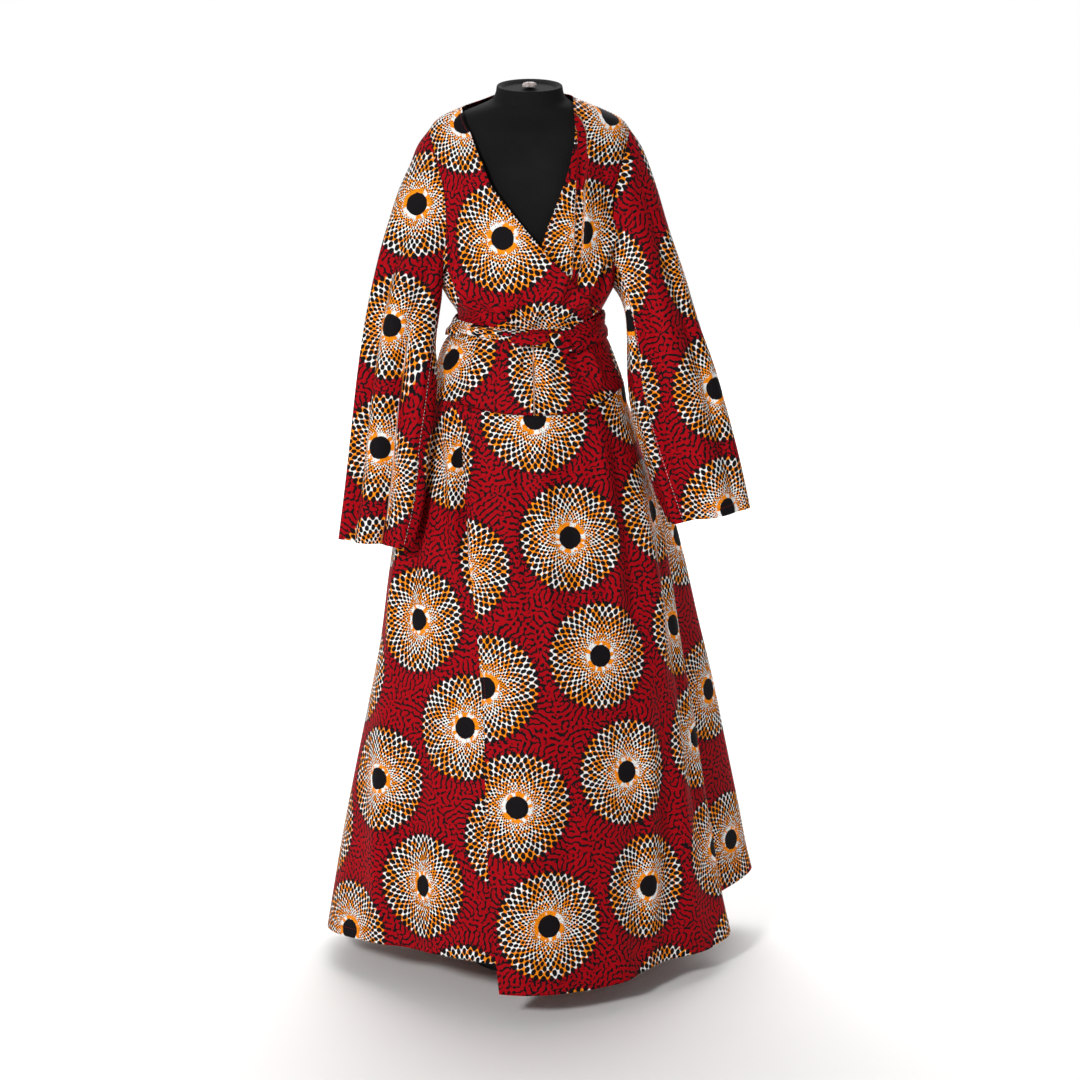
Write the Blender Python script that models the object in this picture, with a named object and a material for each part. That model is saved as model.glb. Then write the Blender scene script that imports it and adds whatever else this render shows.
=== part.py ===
"""Ankara wax print wrap dress, worn by a limbless dress form on its stand.

Metres, +Z up. +X is the viewer's right, and the front of the dress faces -Y.
The origin is the centre of the underside of the stand's base, on the floor.
Left and right in the names are the viewer's, looking at the front.

Every cloth piece is a thin wall on one shape, the worn dress: an oval at each
height, whose sizes stand in GARMENT. A point of it is given by its angle round
the oval (0 on the right, 90 at the back, 180 on the left, 270 in front) and by
its height. A piece is a patch of that shape between its own cut edges.
"""

import math
from collections import namedtuple

import bmesh
import bpy
import numpy as np

# Cloth, seams and layers
CLOTH = 0.0018
SEAM_GAP = 0.0003
ARMHOLE_GAP = 0.0010
NARROWEST = 0.09
BODICE_LAYER = 0.0054
BODICE_LAYER_ANGLES = (212.0, 248.0)
BODICE_LAYER_HEIGHTS = (1.36, 1.44)
SKIRT_LAYER = 0.0042
SKIRT_LAYER_ANGLES = (318.0, 352.0)
FREE_EDGE_LIFT = 0.016
FREE_EDGE_HEIGHTS = (0.85, 0.05)
FREE_EDGE_ANGLES = (268.0, 300.0)
SASH_LIFT = 0.0096
SASH_CROWN = 0.0010
LOOP_CLOTH = 0.0030
LOOP_CROWN = 0.0020

# Heights of the pieces
WAIST_SEAM = 1.100
UNDERARM = 1.168
SHOULDER_TIP = 1.430
ARMHOLE_REACH = 30.0

# Where the skirt's right side seam lies, in degrees, and the slope of the point of
# the left front along the waist
RIGHT_SEAM = 4.0
POINT_SLOPE = 4

# Drapes of the bodice above the waist: how many round, how far they stand out, how
# many degrees they turn in a metre of height, the heights between which they grow
# and fade, and how far round to the sides they reach
DRAPES = 5.0
DRAPE_OUT = 0.0025
DRAPE_SLANT = 500.0
DRAPE_START = (1.125, 1.170)
DRAPE_END = (1.270, 1.370)
DRAPE_SIDES = (0.52, 0.85)

# Stand
BASE_RADIUS = 0.110
BASE_HEIGHT = 0.014
HUB_RADIUS = 0.030
HUB_HEIGHT = 0.040
POLE_RADIUS = 0.014
NECK_LEAN = 0.19
NECK_DISH = 0.004
NECK_RIM_SHRINK = 0.88
NECK_DISH_SHRINK = 0.80
EDGE_ROUND = 0.002
KNOB_RADIUS = 0.012
KNOB_HEIGHT = 0.010
KNOB_PROFILE = ((1.0, 0.6), (0.8, 0.9), (0.4, 1.0))

# Edges sharper than this angle, in degrees, stay sharp
SHARP_ANGLE = 50.0

# Steps, in degrees and in metres, over which the worn shape's slopes are taken
SLOPE_TURN = 0.12
SLOPE_STEP = 0.0005

# How finely the pieces are divided
ARM_STEPS = 12
SIDE_STEPS = 3
FRONT_COLUMNS = 12
BACK_COLUMNS = 16
YOKE_ROWS = 4
YOKE_COLUMNS = 16
SKIRT_ROWS = 13
OVER_COLUMNS = 22
UNDER_COLUMNS = 16
SKIRT_BACK_COLUMNS = 24
SASH_COLUMNS = 44
FORM_SIDES = 24
BODY_ROWS = 14
LOOP_STEPS = 8
BASE_SIDES = 40
POLE_SIDES = 20
KNOB_SIDES = 16

Ring = namedtuple("Ring", "z left right front back")
GARMENT = (
    Ring(0.020, 0.361, 0.345, 0.285, 0.264),
    Ring(0.120, 0.344, 0.324, 0.268, 0.250),
    Ring(0.206, 0.329, 0.312, 0.254, 0.238),
    Ring(0.350, 0.300, 0.291, 0.229, 0.219),
    Ring(0.450, 0.279, 0.277, 0.212, 0.206),
    Ring(0.565, 0.256, 0.257, 0.193, 0.191),
    Ring(0.690, 0.239, 0.238, 0.173, 0.176),
    Ring(0.780, 0.224, 0.221, 0.160, 0.163),
    Ring(0.860, 0.205, 0.196, 0.147, 0.150),
    Ring(0.920, 0.186, 0.177, 0.137, 0.138),
    Ring(0.975, 0.169, 0.163, 0.127, 0.127),
    Ring(1.010, 0.161, 0.157, 0.119, 0.119),
    Ring(1.045, 0.155, 0.145, 0.112, 0.108),
    Ring(1.080, 0.142, 0.131, 0.102, 0.096),
    Ring(1.108, 0.1195, 0.1145, 0.093, 0.086),
    Ring(1.130, 0.1215, 0.1185, 0.099, 0.088),
    Ring(1.150, 0.135, 0.129, 0.111, 0.094),
    Ring(1.172, 0.147, 0.140, 0.119, 0.098),
    Ring(1.220, 0.152, 0.150, 0.125, 0.102),
    Ring(1.270, 0.155, 0.155, 0.126, 0.105),
    Ring(1.330, 0.159, 0.159, 0.117, 0.107),
    Ring(1.380, 0.165, 0.165, 0.100, 0.101),
    Ring(1.410, 0.166, 0.166, 0.086, 0.091),
    Ring(1.430, 0.162, 0.162, 0.075, 0.083),
    Ring(1.446, 0.147, 0.147, 0.067, 0.075),
    Ring(1.463, 0.1115, 0.1115, 0.061, 0.067),
    Ring(1.480, 0.070, 0.071, 0.057, 0.061),
    Ring(1.492, 0.062, 0.063, 0.055, 0.058),
)

# Folds of the worn skirt: where each lies round the oval at the top and at the
# hem, its width in degrees, how far it stands out at the hem, where it starts and
# how it grows (over 1 late, under 1 early)
Fold = namedtuple("Fold", "top_angle hem_angle width out start growth")
SKIRT_FOLDS = (
    Fold(236, 226, 20, -0.048, 0.86, 1.3),
    Fold(200, 205, 12, -0.016, 0.60, 1.3),
    Fold(262, 268, 17, 0.022, 0.80, 1.3),
    Fold(318, 316, 17, -0.038, 0.80, 1.3),
    Fold(296, 298, 5, 0.010, 0.50, 1.3),
    Fold(347, 352, 8, 0.016, 0.90, 1.3),
    Fold(6, 4, 6, -0.030, 0.80, 1.3),
    Fold(20, 24, 10, 0.118, 1.00, 0.75),
    Fold(50, 48, 10, -0.020, 0.80, 1.3),
    Fold(72, 72, 9, 0.024, 0.85, 1.3),
    Fold(93, 94, 9, -0.018, 0.80, 1.3),
    Fold(115, 116, 10, 0.026, 0.88, 1.3),
    Fold(138, 138, 9, -0.016, 0.80, 1.3),
    Fold(158, 160, 9, 0.020, 0.86, 1.3),
)

# Edges of the fronts: places across and heights
Point = namedtuple("Point", "x z")
NECKLINE_LEFT = (
    Point(0.1094, 1.1357), Point(0.0866, 1.1660), Point(0.0170, 1.2470),
    Point(-0.0168, 1.2870), Point(-0.0360, 1.3110), Point(-0.0620, 1.3460),
    Point(-0.0727, 1.3716), Point(-0.0853, 1.3985), Point(-0.0960, 1.4253),
    Point(-0.1065, 1.4440), Point(-0.1100, 1.4630),
)
NECKLINE_RIGHT = (
    Point(-0.0350, 1.1000), Point(-0.0100, 1.1700), Point(0.0186, 1.2430),
    Point(0.0283, 1.2744), Point(0.0380, 1.2984), Point(0.0490, 1.3270),
    Point(0.0587, 1.3525), Point(0.0682, 1.3890), Point(0.0735, 1.4206),
    Point(0.0725, 1.4536), Point(0.0710, 1.4800),
)
WRAP_EDGE = (
    Point(-0.0460, 0.0440), Point(-0.0560, 0.1500), Point(-0.0648, 0.2577),
    Point(-0.0728, 0.4840), Point(-0.0870, 0.6460), Point(-0.1060, 0.8130),
    Point(-0.1110, 0.9050), Point(-0.1190, 0.9860),
)
UNDER_EDGE = (Point(0.0750, 0.0600), Point(0.0600, 0.5000), Point(0.0450, 0.9800))

# Top of the back, from the right shoulder tip round the neck to the left one
Top = namedtuple("Top", "share angle z")
BACK_TOP = (
    Top(0.0, 0, SHOULDER_TIP), Top(0.2, 0, 1.479), Top(0.3, 22, 1.483), Top(0.5, 90, 1.484),
    Top(0.7, 158, 1.479), Top(0.8, 180, 1.463), Top(1.0, 180, SHOULDER_TIP),
)

# Heights of seams and hems round the oval
Level = namedtuple("Level", "angle z")
HIP_SEAM = (
    Level(0, 1.008), Level(45, 1.003), Level(90, 1.000), Level(135, 0.998), Level(180, 0.994),
    Level(226, 0.986), Level(262, 0.974), Level(285, 0.973), Level(306, 0.979), Level(333, 1.001),
    Level(360, 1.008),
)
OVER_HEM = (
    Level(262, 0.0440), Level(290, 0.0430), Level(318, 0.0540), Level(340, 0.0480), Level(352, 0.0520),
    Level(364, 0.0920),
)
UNDER_HEM = (Level(180, 0.0500), Level(205, 0.0680), Level(240, 0.0860), Level(284, 0.0860))
BACK_HEM = (
    Level(4, 0.0920), Level(24, 0.0830), Level(60, 0.0760), Level(120, 0.0680), Level(180, 0.0500),
)

Band = namedtuple("Band", "angle z half_width")
SASH = (
    Band(0, 1.110, 0.0215), Band(90, 1.112, 0.0215), Band(180, 1.104, 0.0180), Band(225, 1.105, 0.0110),
    Band(256, 1.100, 0.0110), Band(280, 1.096, 0.0150), Band(300, 1.093, 0.0205), Band(330, 1.104, 0.0215),
    Band(360, 1.110, 0.0215),
)
Strip = namedtuple("Strip", "x z half_width lift")
LOOP_LEFT = (
    Strip(-0.0890, 1.1030, 0.0080, 0.0140), Strip(-0.0620, 1.1050, 0.0105, 0.0160),
    Strip(-0.0262, 1.0985, 0.0050, 0.0212),
)
LOOP_RIGHT = (
    Strip(0.0294, 1.0970, 0.0050, 0.0212), Strip(0.0460, 1.0860, 0.0095, 0.0158),
    Strip(0.0600, 1.0730, 0.0080, 0.0134),
)
KNOT = Point(0.0005, 1.0975)
KNOT_HALF_LENGTH = 0.0315
KNOT_HALF_DEPTH = 0.0085
KNOT_HALF_HEIGHT = 0.0115
KNOT_CLEAR = 0.0020
KNOT_SQUARENESS = 0.85

# Sleeves: the outer and the inner line of the hanging tube, and its half depth
Station = namedtuple("Station", "outer_x outer_y outer_z inner_x inner_y inner_z half_depth")
SLEEVE_LEFT = (
    Station(0.180, 0.000, 1.405, 0.1520, -0.010, 1.140, 0.060),
    Station(0.194, 0.000, 1.374, 0.1535, -0.022, 1.112, 0.056),
    Station(0.2165, -0.001, 1.326, 0.1545, -0.038, 1.085, 0.051),
    Station(0.2365, -0.003, 1.262, 0.1535, -0.060, 1.052, 0.045),
    Station(0.2555, -0.007, 1.180, 0.1540, -0.078, 1.012, 0.039),
    Station(0.2712, -0.0145, 1.101, 0.1583, -0.0915, 0.966, 0.0345),
    Station(0.2831, -0.0238, 1.0205, 0.1652, -0.1027, 0.9155, 0.031),
    Station(0.2942, -0.0362, 0.9255, 0.1703, -0.1118, 0.8625, 0.029),
    Station(0.3052, -0.0461, 0.8355, 0.1783, -0.1158, 0.8065, 0.028),
    Station(0.316, -0.052, 0.754, 0.1930, -0.116, 0.752, 0.027),
)
SLEEVE_RIGHT = (
    Station(0.180, 0.000, 1.405, 0.1470, -0.002, 1.156, 0.060),
    Station(0.192, -0.001, 1.380, 0.1540, -0.005, 1.142, 0.057),
    Station(0.210, -0.003, 1.330, 0.1590, -0.010, 1.122, 0.054),
    Station(0.231, -0.006, 1.262, 0.1605, -0.016, 1.095, 0.051),
    Station(0.257, -0.010, 1.188, 0.1610, -0.022, 1.060, 0.049),
    Station(0.281, -0.014, 1.110, 0.1625, -0.027, 1.015, 0.047),
    Station(0.307, -0.018, 1.040, 0.1680, -0.031, 0.968, 0.045),
    Station(0.328, -0.022, 0.970, 0.1800, -0.034, 0.918, 0.043),
    Station(0.351, -0.026, 0.885, 0.2030, -0.037, 0.850, 0.042),
    Station(0.370, -0.030, 0.803, 0.2300, -0.040, 0.779, 0.042),
)
# Long folds down a sleeve: angle round the tube (0 in front), width, height out
Pleat = namedtuple("Pleat", "angle width out")
SLEEVE_LEFT_FOLDS = (
    Pleat(-50, 14, 0.0055), Pleat(-22, 13, -0.0060), Pleat(9, 15, 0.0065), Pleat(38, 13, -0.0060),
    Pleat(138, 15, -0.0055), Pleat(171, 16, 0.0065), Pleat(205, 15, -0.0065), Pleat(234, 13, 0.0040),
)
SLEEVE_RIGHT_FOLDS = (
    Pleat(-48, 14, 0.006), Pleat(-20, 13, -0.007), Pleat(12, 15, 0.007), Pleat(42, 13, -0.006),
    Pleat(140, 15, -0.006), Pleat(172, 16, 0.007), Pleat(208, 15, -0.007), Pleat(236, 13, 0.004),
)

# Shares of the sleeve's length between which its folds grow
SLEEVE_FOLD_GROWTH = (0.15, 0.60)

# The dress form, which carries the dress on its shoulders
Torso = namedtuple("Torso", "z half_width front back lean")
TORSO = (
    Torso(0.800, 0.118, 0.078, 0.084, 0.0),
    Torso(0.812, 0.142, 0.097, 0.103, 0.0),
    Torso(0.850, 0.157, 0.108, 0.114, 0.0),
    Torso(0.900, 0.160, 0.111, 0.117, 0.0),
    Torso(0.960, 0.151, 0.108, 0.111, 0.0),
    Torso(1.030, 0.133, 0.100, 0.098, 0.0),
    Torso(1.080, 0.113, 0.086, 0.082, 0.0),
    Torso(1.120, 0.106, 0.082, 0.076, 0.0),
    Torso(1.165, 0.115, 0.094, 0.081, 0.0),
    Torso(1.220, 0.134, 0.112, 0.089, 0.0),
    Torso(1.270, 0.143, 0.116, 0.093, 0.0),
    Torso(1.330, 0.147, 0.104, 0.094, 0.0),
    Torso(1.380, 0.151, 0.086, 0.087, 0.0),
    Torso(1.408, 0.150, 0.074, 0.078, 0.0),
    Torso(1.426, 0.146, 0.066, 0.0740, 0.0),
    Torso(1.438, 0.1400, 0.057, 0.0675, 0.0),
    Torso(1.449, 0.1245, 0.051, 0.0625, 0.1),
    Torso(1.458, 0.1050, 0.049, 0.0585, 0.3),
    Torso(1.466, 0.0830, 0.0485, 0.0555, 0.5),
    Torso(1.474, 0.0640, 0.048, 0.051, 0.8),
    Torso(1.483, 0.0570, 0.048, 0.0505, 0.9),
    Torso(1.497, 0.0535, 0.049, 0.051, 1.0),
)

# Height up to which the form is divided evenly; above it each row is its own
BODY_TOP = 1.420

Finish = namedtuple("Finish", "red green blue roughness metallic")
FINISHES = {
    "wax_print": Finish(0.52, 0.03, 0.03, 0.75, 0.0),
    "wax_print_sash": Finish(0.45, 0.03, 0.02, 0.75, 0.0),
    "black_jersey": Finish(0.015, 0.015, 0.016, 0.85, 0.0),
    "pale_fitting": Finish(0.55, 0.46, 0.44, 0.45, 0.0),
    "black_steel": Finish(0.03, 0.03, 0.032, 0.40, 0.8),
}


def columns(rows):
    """A table's columns as arrays."""
    return [np.array(column, float) for column in zip(*rows)]


def smooth(stops, values, at):
    """A smooth curve through the values, whose slope at each stop comes from its neighbours."""
    stops, values = np.asarray(stops, float), np.asarray(values, float)
    at = np.clip(np.asarray(at, float), stops[0], stops[-1])
    slopes = np.gradient(values, stops)
    i = np.clip(np.searchsorted(stops, at, side="right") - 1, 0, len(stops) - 2)
    step = stops[i + 1] - stops[i]
    t = (at - stops[i]) / step
    rise = (3 - 2 * t) * t**2
    ends = (1 - rise) * values[i] + rise * values[i + 1]
    return ends + step * (t * (1 - t) ** 2 * slopes[i] - t**2 * (1 - t) * slopes[i + 1])


def ramp(value, start, end):
    """0 before start, 1 after end, and a soft step between them."""
    t = np.clip((value - start) / (end - start), 0, 1)
    return t * t * (3 - 2 * t)


def apart(angle, other):
    """The turn in degrees from one angle to the other, from -180 to 180."""
    return np.mod(angle - other + 180.0, 360.0) - 180.0


def oval_points(angle, z):
    """Points of the worn dress without its folds, from angles in degrees and heights."""
    stops, left, right, front, back = columns(GARMENT)
    turn = np.radians(angle)
    across, along = np.cos(turn), np.sin(turn)
    half_width = np.where(across < 0, smooth(stops, left, z), smooth(stops, right, z))
    half_depth = np.where(along < 0, smooth(stops, front, z), smooth(stops, back, z))
    return np.stack([half_width * across, half_depth * along, z + 0 * turn], -1)


def oval_normals(angle, z):
    """Outward directions of the worn dress, from its slopes round and up."""
    round_it = oval_points(angle + SLOPE_TURN, z) - oval_points(angle - SLOPE_TURN, z)
    up_it = oval_points(angle, z + SLOPE_STEP) - oval_points(angle, z - SLOPE_STEP)
    normal = np.cross(round_it, up_it)
    return normal / np.linalg.norm(normal, axis=-1, keepdims=True)


def skirt_folds(angle, z):
    """How far the skirt's folds stand out: each a soft ridge that grows to the hem."""
    out = np.zeros(np.broadcast(angle, z).shape)
    for fold in SKIRT_FOLDS:
        grown = np.clip((fold.start - z) / fold.start, 0, 1) ** fold.growth
        middle = fold.top_angle + (fold.hem_angle - fold.top_angle) * grown
        out = out + fold.out * grown * np.exp(-((apart(angle, middle) / fold.width) ** 2))
    return out


def bodice_folds(angle, z):
    """Soft drapes of the bodice from the armholes down to the waist, in front and behind."""
    full = ramp(z, *DRAPE_START) * (1 - ramp(z, *DRAPE_END))
    drape = DRAPE_OUT * np.sin(np.radians(DRAPES * angle + DRAPE_SLANT * (z - WAIST_SEAM)))
    return full * drape * ramp(np.abs(np.sin(np.radians(angle))), *DRAPE_SIDES)


def angle_at(x, z):
    """The angle at which the front of the oval of height z reaches x."""
    stops, left, right, _, _ = columns(GARMENT)
    half_width = np.where(x < 0, smooth(stops, left, z), smooth(stops, right, z))
    return 360.0 - np.degrees(np.arccos(np.clip(x / half_width, -1, 1)))


def along(points, count):
    """Evenly spaced places on a smooth curve through points across and up."""
    x, z = columns(points)
    travelled = np.concatenate([[0], np.cumsum(np.hypot(np.diff(x), np.diff(z)))])
    at = np.linspace(0, travelled[-1], count)
    return smooth(travelled, x, at), smooth(travelled, z, at)


def armhole(turns, side, face):
    """Angles and heights of an armhole's edge, from underarm to shoulder tip.

    side is 180 on the left and 0 on the right; face is 1 towards the back on the
    right and towards the front on the left, -1 the other way.
    """
    middle = (UNDERARM + SHOULDER_TIP) / 2
    reach = (SHOULDER_TIP - UNDERARM) / 2
    swing = ARMHOLE_REACH * np.cos(turns)
    return side + face * swing, middle + reach * np.sin(turns)


def side_line(side, face, gap):
    """A side seam from the waist to the underarm, then half the armhole up to the shoulder."""
    seam_z = np.linspace(WAIST_SEAM + SEAM_GAP, UNDERARM, SIDE_STEPS + 1)[:-1]
    turns = np.linspace(-math.pi / 2, math.pi / 2, ARM_STEPS + 1)
    angle, z = armhole(turns, side, face)
    return np.concatenate([np.full(SIDE_STEPS, float(side)), angle]) + face * gap, np.concatenate([seam_z, z])


def coons(bottom, top, left, right):
    """A grid of (angle, height) between four edges that meet at their corners."""
    bottom, top, left, right = (np.stack(edge, -1) for edge in (bottom, top, left, right))
    u = np.linspace(0, 1, len(bottom))[None, :, None]
    v = np.linspace(0, 1, len(left))[:, None, None]
    edges = (1 - v) * bottom[None] + v * top[None] + (1 - u) * left[:, None] + u * right[:, None]
    corners = (1 - v) * ((1 - u) * bottom[0] + u * bottom[-1]) + v * ((1 - u) * top[0] + u * top[-1])
    grid = edges - corners
    return grid[..., 0], grid[..., 1]


def material(name):
    """The material of a finish, made once."""
    found = bpy.data.materials.get(name)
    if found:
        return found
    finish = FINISHES[name]
    made = bpy.data.materials.new(name)
    made.use_nodes = True
    shader = made.node_tree.nodes["Principled BSDF"]
    shader.inputs["Base Color"].default_value = (finish.red, finish.green, finish.blue, 1)
    shader.inputs["Roughness"].default_value = finish.roughness
    shader.inputs["Metallic"].default_value = finish.metallic
    return made


def add_mesh(name, points, faces, finish):
    """A closed mesh object whose faces point out, shaded smooth but for sharp edges."""
    mesh = bpy.data.meshes.new(name)
    mesh.from_pydata([tuple(p) for p in points], [], faces)
    work = bmesh.new()
    work.from_mesh(mesh)
    bmesh.ops.recalc_face_normals(work, faces=work.faces)
    work.to_mesh(mesh)
    work.free()
    mesh.shade_smooth()
    mesh.set_sharp_from_angle(angle=math.radians(SHARP_ANGLE))
    mesh.materials.append(material(finish))
    made = bpy.data.objects.new(name, mesh)
    bpy.context.scene.collection.objects.link(made)
    return made


def wall(name, outer, normals, thickness, finish, closed=False):
    """A cloth wall: a grid of outer points, the same grid moved in, and its rims."""
    rows, count = outer.shape[:2]
    inner = outer - thickness * normals
    points = np.concatenate([outer.reshape(-1, 3), inner.reshape(-1, 3)])
    place = np.arange(rows * count).reshape(rows, count)
    after = np.roll(place, -1, axis=1) if closed else place[:, 1:]
    here = place if closed else place[:, :-1]
    outside = np.stack([here[:-1], after[:-1], after[1:], here[1:]], -1).reshape(-1, 4)
    inside = outside[:, ::-1] + rows * count
    rims = [np.stack([here[r], after[r]], -1) for r in (0, -1)]
    if not closed:
        rims += [np.stack([place[:-1, c], place[1:, c]], -1) for c in (0, -1)]
    faces = [tuple(face) for face in np.concatenate([outside, inside]).tolist()]
    for rim in rims:
        faces += [(a, b, b + rows * count, a + rows * count) for a, b in rim.tolist()]
    return add_mesh(name, points, faces, finish)


def dress_wall(name, angle, z, layer):
    """A wall on the worn dress, from a grid of angles and heights and its layer's height."""
    normals = oval_normals(angle, z)
    out = layer + skirt_folds(angle, z) + bodice_folds(angle, z)
    return wall(name, oval_points(angle, z) + out[..., None] * normals, normals, CLOTH, "wax_print")


def seam_turn():
    """Half a seam's gap as a turn in degrees, at the narrowest of the dress."""
    return math.degrees(SEAM_GAP / 2 / NARROWEST)


def bodice_front_left():
    """The front that lies on top: from the left side across the right front to its point."""
    side_angle, side_z = side_line(180, 1, seam_turn())
    edge_x, edge_z = along(NECKLINE_LEFT, len(side_z))
    edge_angle = angle_at(edge_x, edge_z)
    edge_angle[-1] = 180 + seam_turn()
    u = np.linspace(0, 1, FRONT_COLUMNS + 1)
    hem_angle = side_angle[0] + (edge_angle[0] - side_angle[0]) * u
    hem_z = side_z[0] + (edge_z[0] - side_z[0]) * u**POINT_SLOPE
    top_angle = side_angle[-1] + (edge_angle[-1] - side_angle[-1]) * u
    top_z = side_z[-1] + (edge_z[-1] - side_z[-1]) * u
    angle, z = coons((hem_angle, hem_z), (top_angle, top_z), (side_angle, side_z), (edge_angle, edge_z))
    layer = BODICE_LAYER * ramp(angle, *BODICE_LAYER_ANGLES)
    layer = layer * (1 - ramp(z, *BODICE_LAYER_HEIGHTS))
    return dress_wall("bodice_front_left", angle, z, layer)


def bodice_front_right():
    """The front underneath: from its edge under the left front to the right side."""
    side_angle, side_z = side_line(360, -1, seam_turn())
    edge_x, edge_z = along(NECKLINE_RIGHT, len(side_z))
    edge_angle = angle_at(edge_x, edge_z)
    edge_angle[-1] = 360 - seam_turn()
    edge_z[0] = side_z[0]
    u = np.linspace(0, 1, FRONT_COLUMNS + 1)
    hem_angle = edge_angle[0] + (side_angle[0] - edge_angle[0]) * u
    top_angle = edge_angle[-1] + (side_angle[-1] - edge_angle[-1]) * u
    top_z = edge_z[-1] + (side_z[-1] - edge_z[-1]) * u
    angle, z = coons(
        (hem_angle, side_z[0] + 0 * u), (top_angle, top_z), (edge_angle, edge_z), (side_angle, side_z)
    )
    return dress_wall("bodice_front_right", angle, z, 0 * z)


def bodice_back():
    """The back, with both shoulder seams and the back of the neckline along its top."""
    right_angle, right_z = side_line(0, 1, seam_turn())
    left_angle, left_z = side_line(180, -1, seam_turn())
    u = np.linspace(0, 1, BACK_COLUMNS + 1)
    low, high = seam_turn(), 180 - seam_turn()
    share, top_angle, top_z = columns(BACK_TOP)
    top_angle = np.clip(smooth(share, np.clip(top_angle, low, high), u), low, high)
    top_z = smooth(share, top_z, u)
    angle, z = coons(
        (low + (high - low) * u, left_z[0] + 0 * u), (top_angle, top_z), (right_angle, right_z),
        (left_angle, left_z),
    )
    return dress_wall("bodice_back", angle, z, 0 * z)


def yoke(name, start, end):
    """The band between waist and hip seam, from one side to the other."""
    angle = np.linspace(start + seam_turn(), end - seam_turn(), YOKE_COLUMNS + 1)
    low = smooth(*columns(HIP_SEAM), angle) + SEAM_GAP / 2
    v = np.linspace(0, 1, YOKE_ROWS + 1)[:, None]
    z = low + (WAIST_SEAM - low) * v
    return dress_wall(name, np.broadcast_to(angle, z.shape), z, 0 * z)


def skirt_grid(start, end, hem, count):
    """Angles and heights of a skirt panel, whose two edges are curves of angle by share of height."""
    v = np.linspace(0, 1, SKIRT_ROWS + 1)[:, None]
    u = np.linspace(0, 1, count + 1)
    angle = start(v) + (end(v) - start(v)) * u
    stops, levels = columns(hem)
    low = smooth(stops, levels, angle)
    high = smooth(*columns(HIP_SEAM), np.where(angle >= 360, angle - 360, angle)) - SEAM_GAP / 2
    return angle, low + (high - low) * v


def edge_curve(points):
    """The angle of an edge through points across and up, by its share of the skirt's height."""
    x, z = columns(points)

    def at(v):
        height = z[0] + (z[-1] - z[0]) * v
        return angle_at(smooth(z, x, height), height)

    return at


def level_edge(angle):
    """An edge that keeps one angle."""
    return lambda v: angle + 0 * v


def skirt_front_over():
    """The front that wraps on top, from its free edge to the right side seam."""
    side = level_edge(360 + RIGHT_SEAM - seam_turn())
    angle, z = skirt_grid(edge_curve(WRAP_EDGE), side, OVER_HEM, OVER_COLUMNS)
    flown = FREE_EDGE_LIFT * ramp(z, *FREE_EDGE_HEIGHTS) * (1 - ramp(angle, *FREE_EDGE_ANGLES))
    lift = SKIRT_LAYER * (1 - ramp(angle, *SKIRT_LAYER_ANGLES)) + flown
    return dress_wall("skirt_front_over", angle, z, lift)


def skirt_front_under():
    """The front underneath, from the left side seam to its hidden edge."""
    angle, z = skirt_grid(level_edge(180 + seam_turn()), edge_curve(UNDER_EDGE), UNDER_HEM, UNDER_COLUMNS)
    return dress_wall("skirt_front_under", angle, z, 0 * z)


def skirt_back():
    """The back of the skirt between the side seams."""
    angle, z = skirt_grid(
        level_edge(RIGHT_SEAM + seam_turn()), level_edge(180 - seam_turn()), BACK_HEM, SKIRT_BACK_COLUMNS
    )
    return dress_wall("skirt_back", angle, z, 0 * z)


def sleeve(name, side, stations, folds):
    """A hanging sleeve: a tube from the armhole to the open cuff, with long folds."""
    turns = np.linspace(0, 2 * math.pi, 2 * ARM_STEPS, endpoint=False)
    hole_angle, hole_z = armhole(turns, side, 1 if side == 180 else -1)
    hole = oval_points(hole_angle, hole_z)
    mirror = np.array([-1.0 if side == 180 else 1.0, 1.0, 1.0])
    table = columns(stations)
    outer = np.stack(table[0:3], -1) * mirror
    inner = np.stack(table[3:6], -1) * mirror
    middle, half = (outer + inner) / 2, (outer - inner) / 2
    first = (hole[ARM_STEPS // 2] + hole[-ARM_STEPS // 2]) / 2
    path = np.gradient(np.concatenate([[first], middle]), axis=0)[1:]
    depth = -mirror[0] * np.cross(half, path)
    depth = depth / np.linalg.norm(depth, axis=-1, keepdims=True) * table[6][:, None]
    rings = middle[:, None] + half[:, None] * np.sin(turns)[None, :, None]
    rings = rings + depth[:, None] * np.cos(turns)[None, :, None]
    start = rings[0] - hole
    start = hole + ARMHOLE_GAP * start / np.linalg.norm(start, axis=-1, keepdims=True)
    rings = np.concatenate([start[None], rings])
    round_it = np.roll(rings, -1, axis=1) - np.roll(rings, 1, axis=1)
    down_it = np.gradient(rings, axis=0)
    normals = np.cross(round_it, down_it)
    away = np.sum(normals * (rings - rings.mean(axis=1, keepdims=True)), axis=(1, 2))
    normals = normals * np.sign(away)[:, None, None]
    normals = normals / np.linalg.norm(normals, axis=-1, keepdims=True)
    share = np.linspace(0, 1, len(rings))[:, None]
    out = np.zeros(rings.shape[:2])
    for pleat in folds:
        near = np.exp(-((apart(np.degrees(turns), pleat.angle) / pleat.width) ** 2))
        out = out + pleat.out * ramp(share, *SLEEVE_FOLD_GROWTH) * near
    return wall(name, rings + out[..., None] * normals, normals, CLOTH, "wax_print", closed=True)


def sash_band():
    """The sash round the waist, on top of the waist seam."""
    angle = np.linspace(0, 360, SASH_COLUMNS, endpoint=False)
    stops, middle, half = columns(SASH)
    v = np.linspace(-1, 1, 4)[:, None]
    z = smooth(stops, middle, angle) + smooth(stops, half, angle) * v
    angle = np.broadcast_to(angle, z.shape)
    normals = oval_normals(angle, z)
    outer = oval_points(angle, z) + (SASH_LIFT + SASH_CROWN * (1 - v**2))[..., None] * normals
    return wall("sash_band", outer, normals, CLOTH, "wax_print_sash", closed=True)


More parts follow.
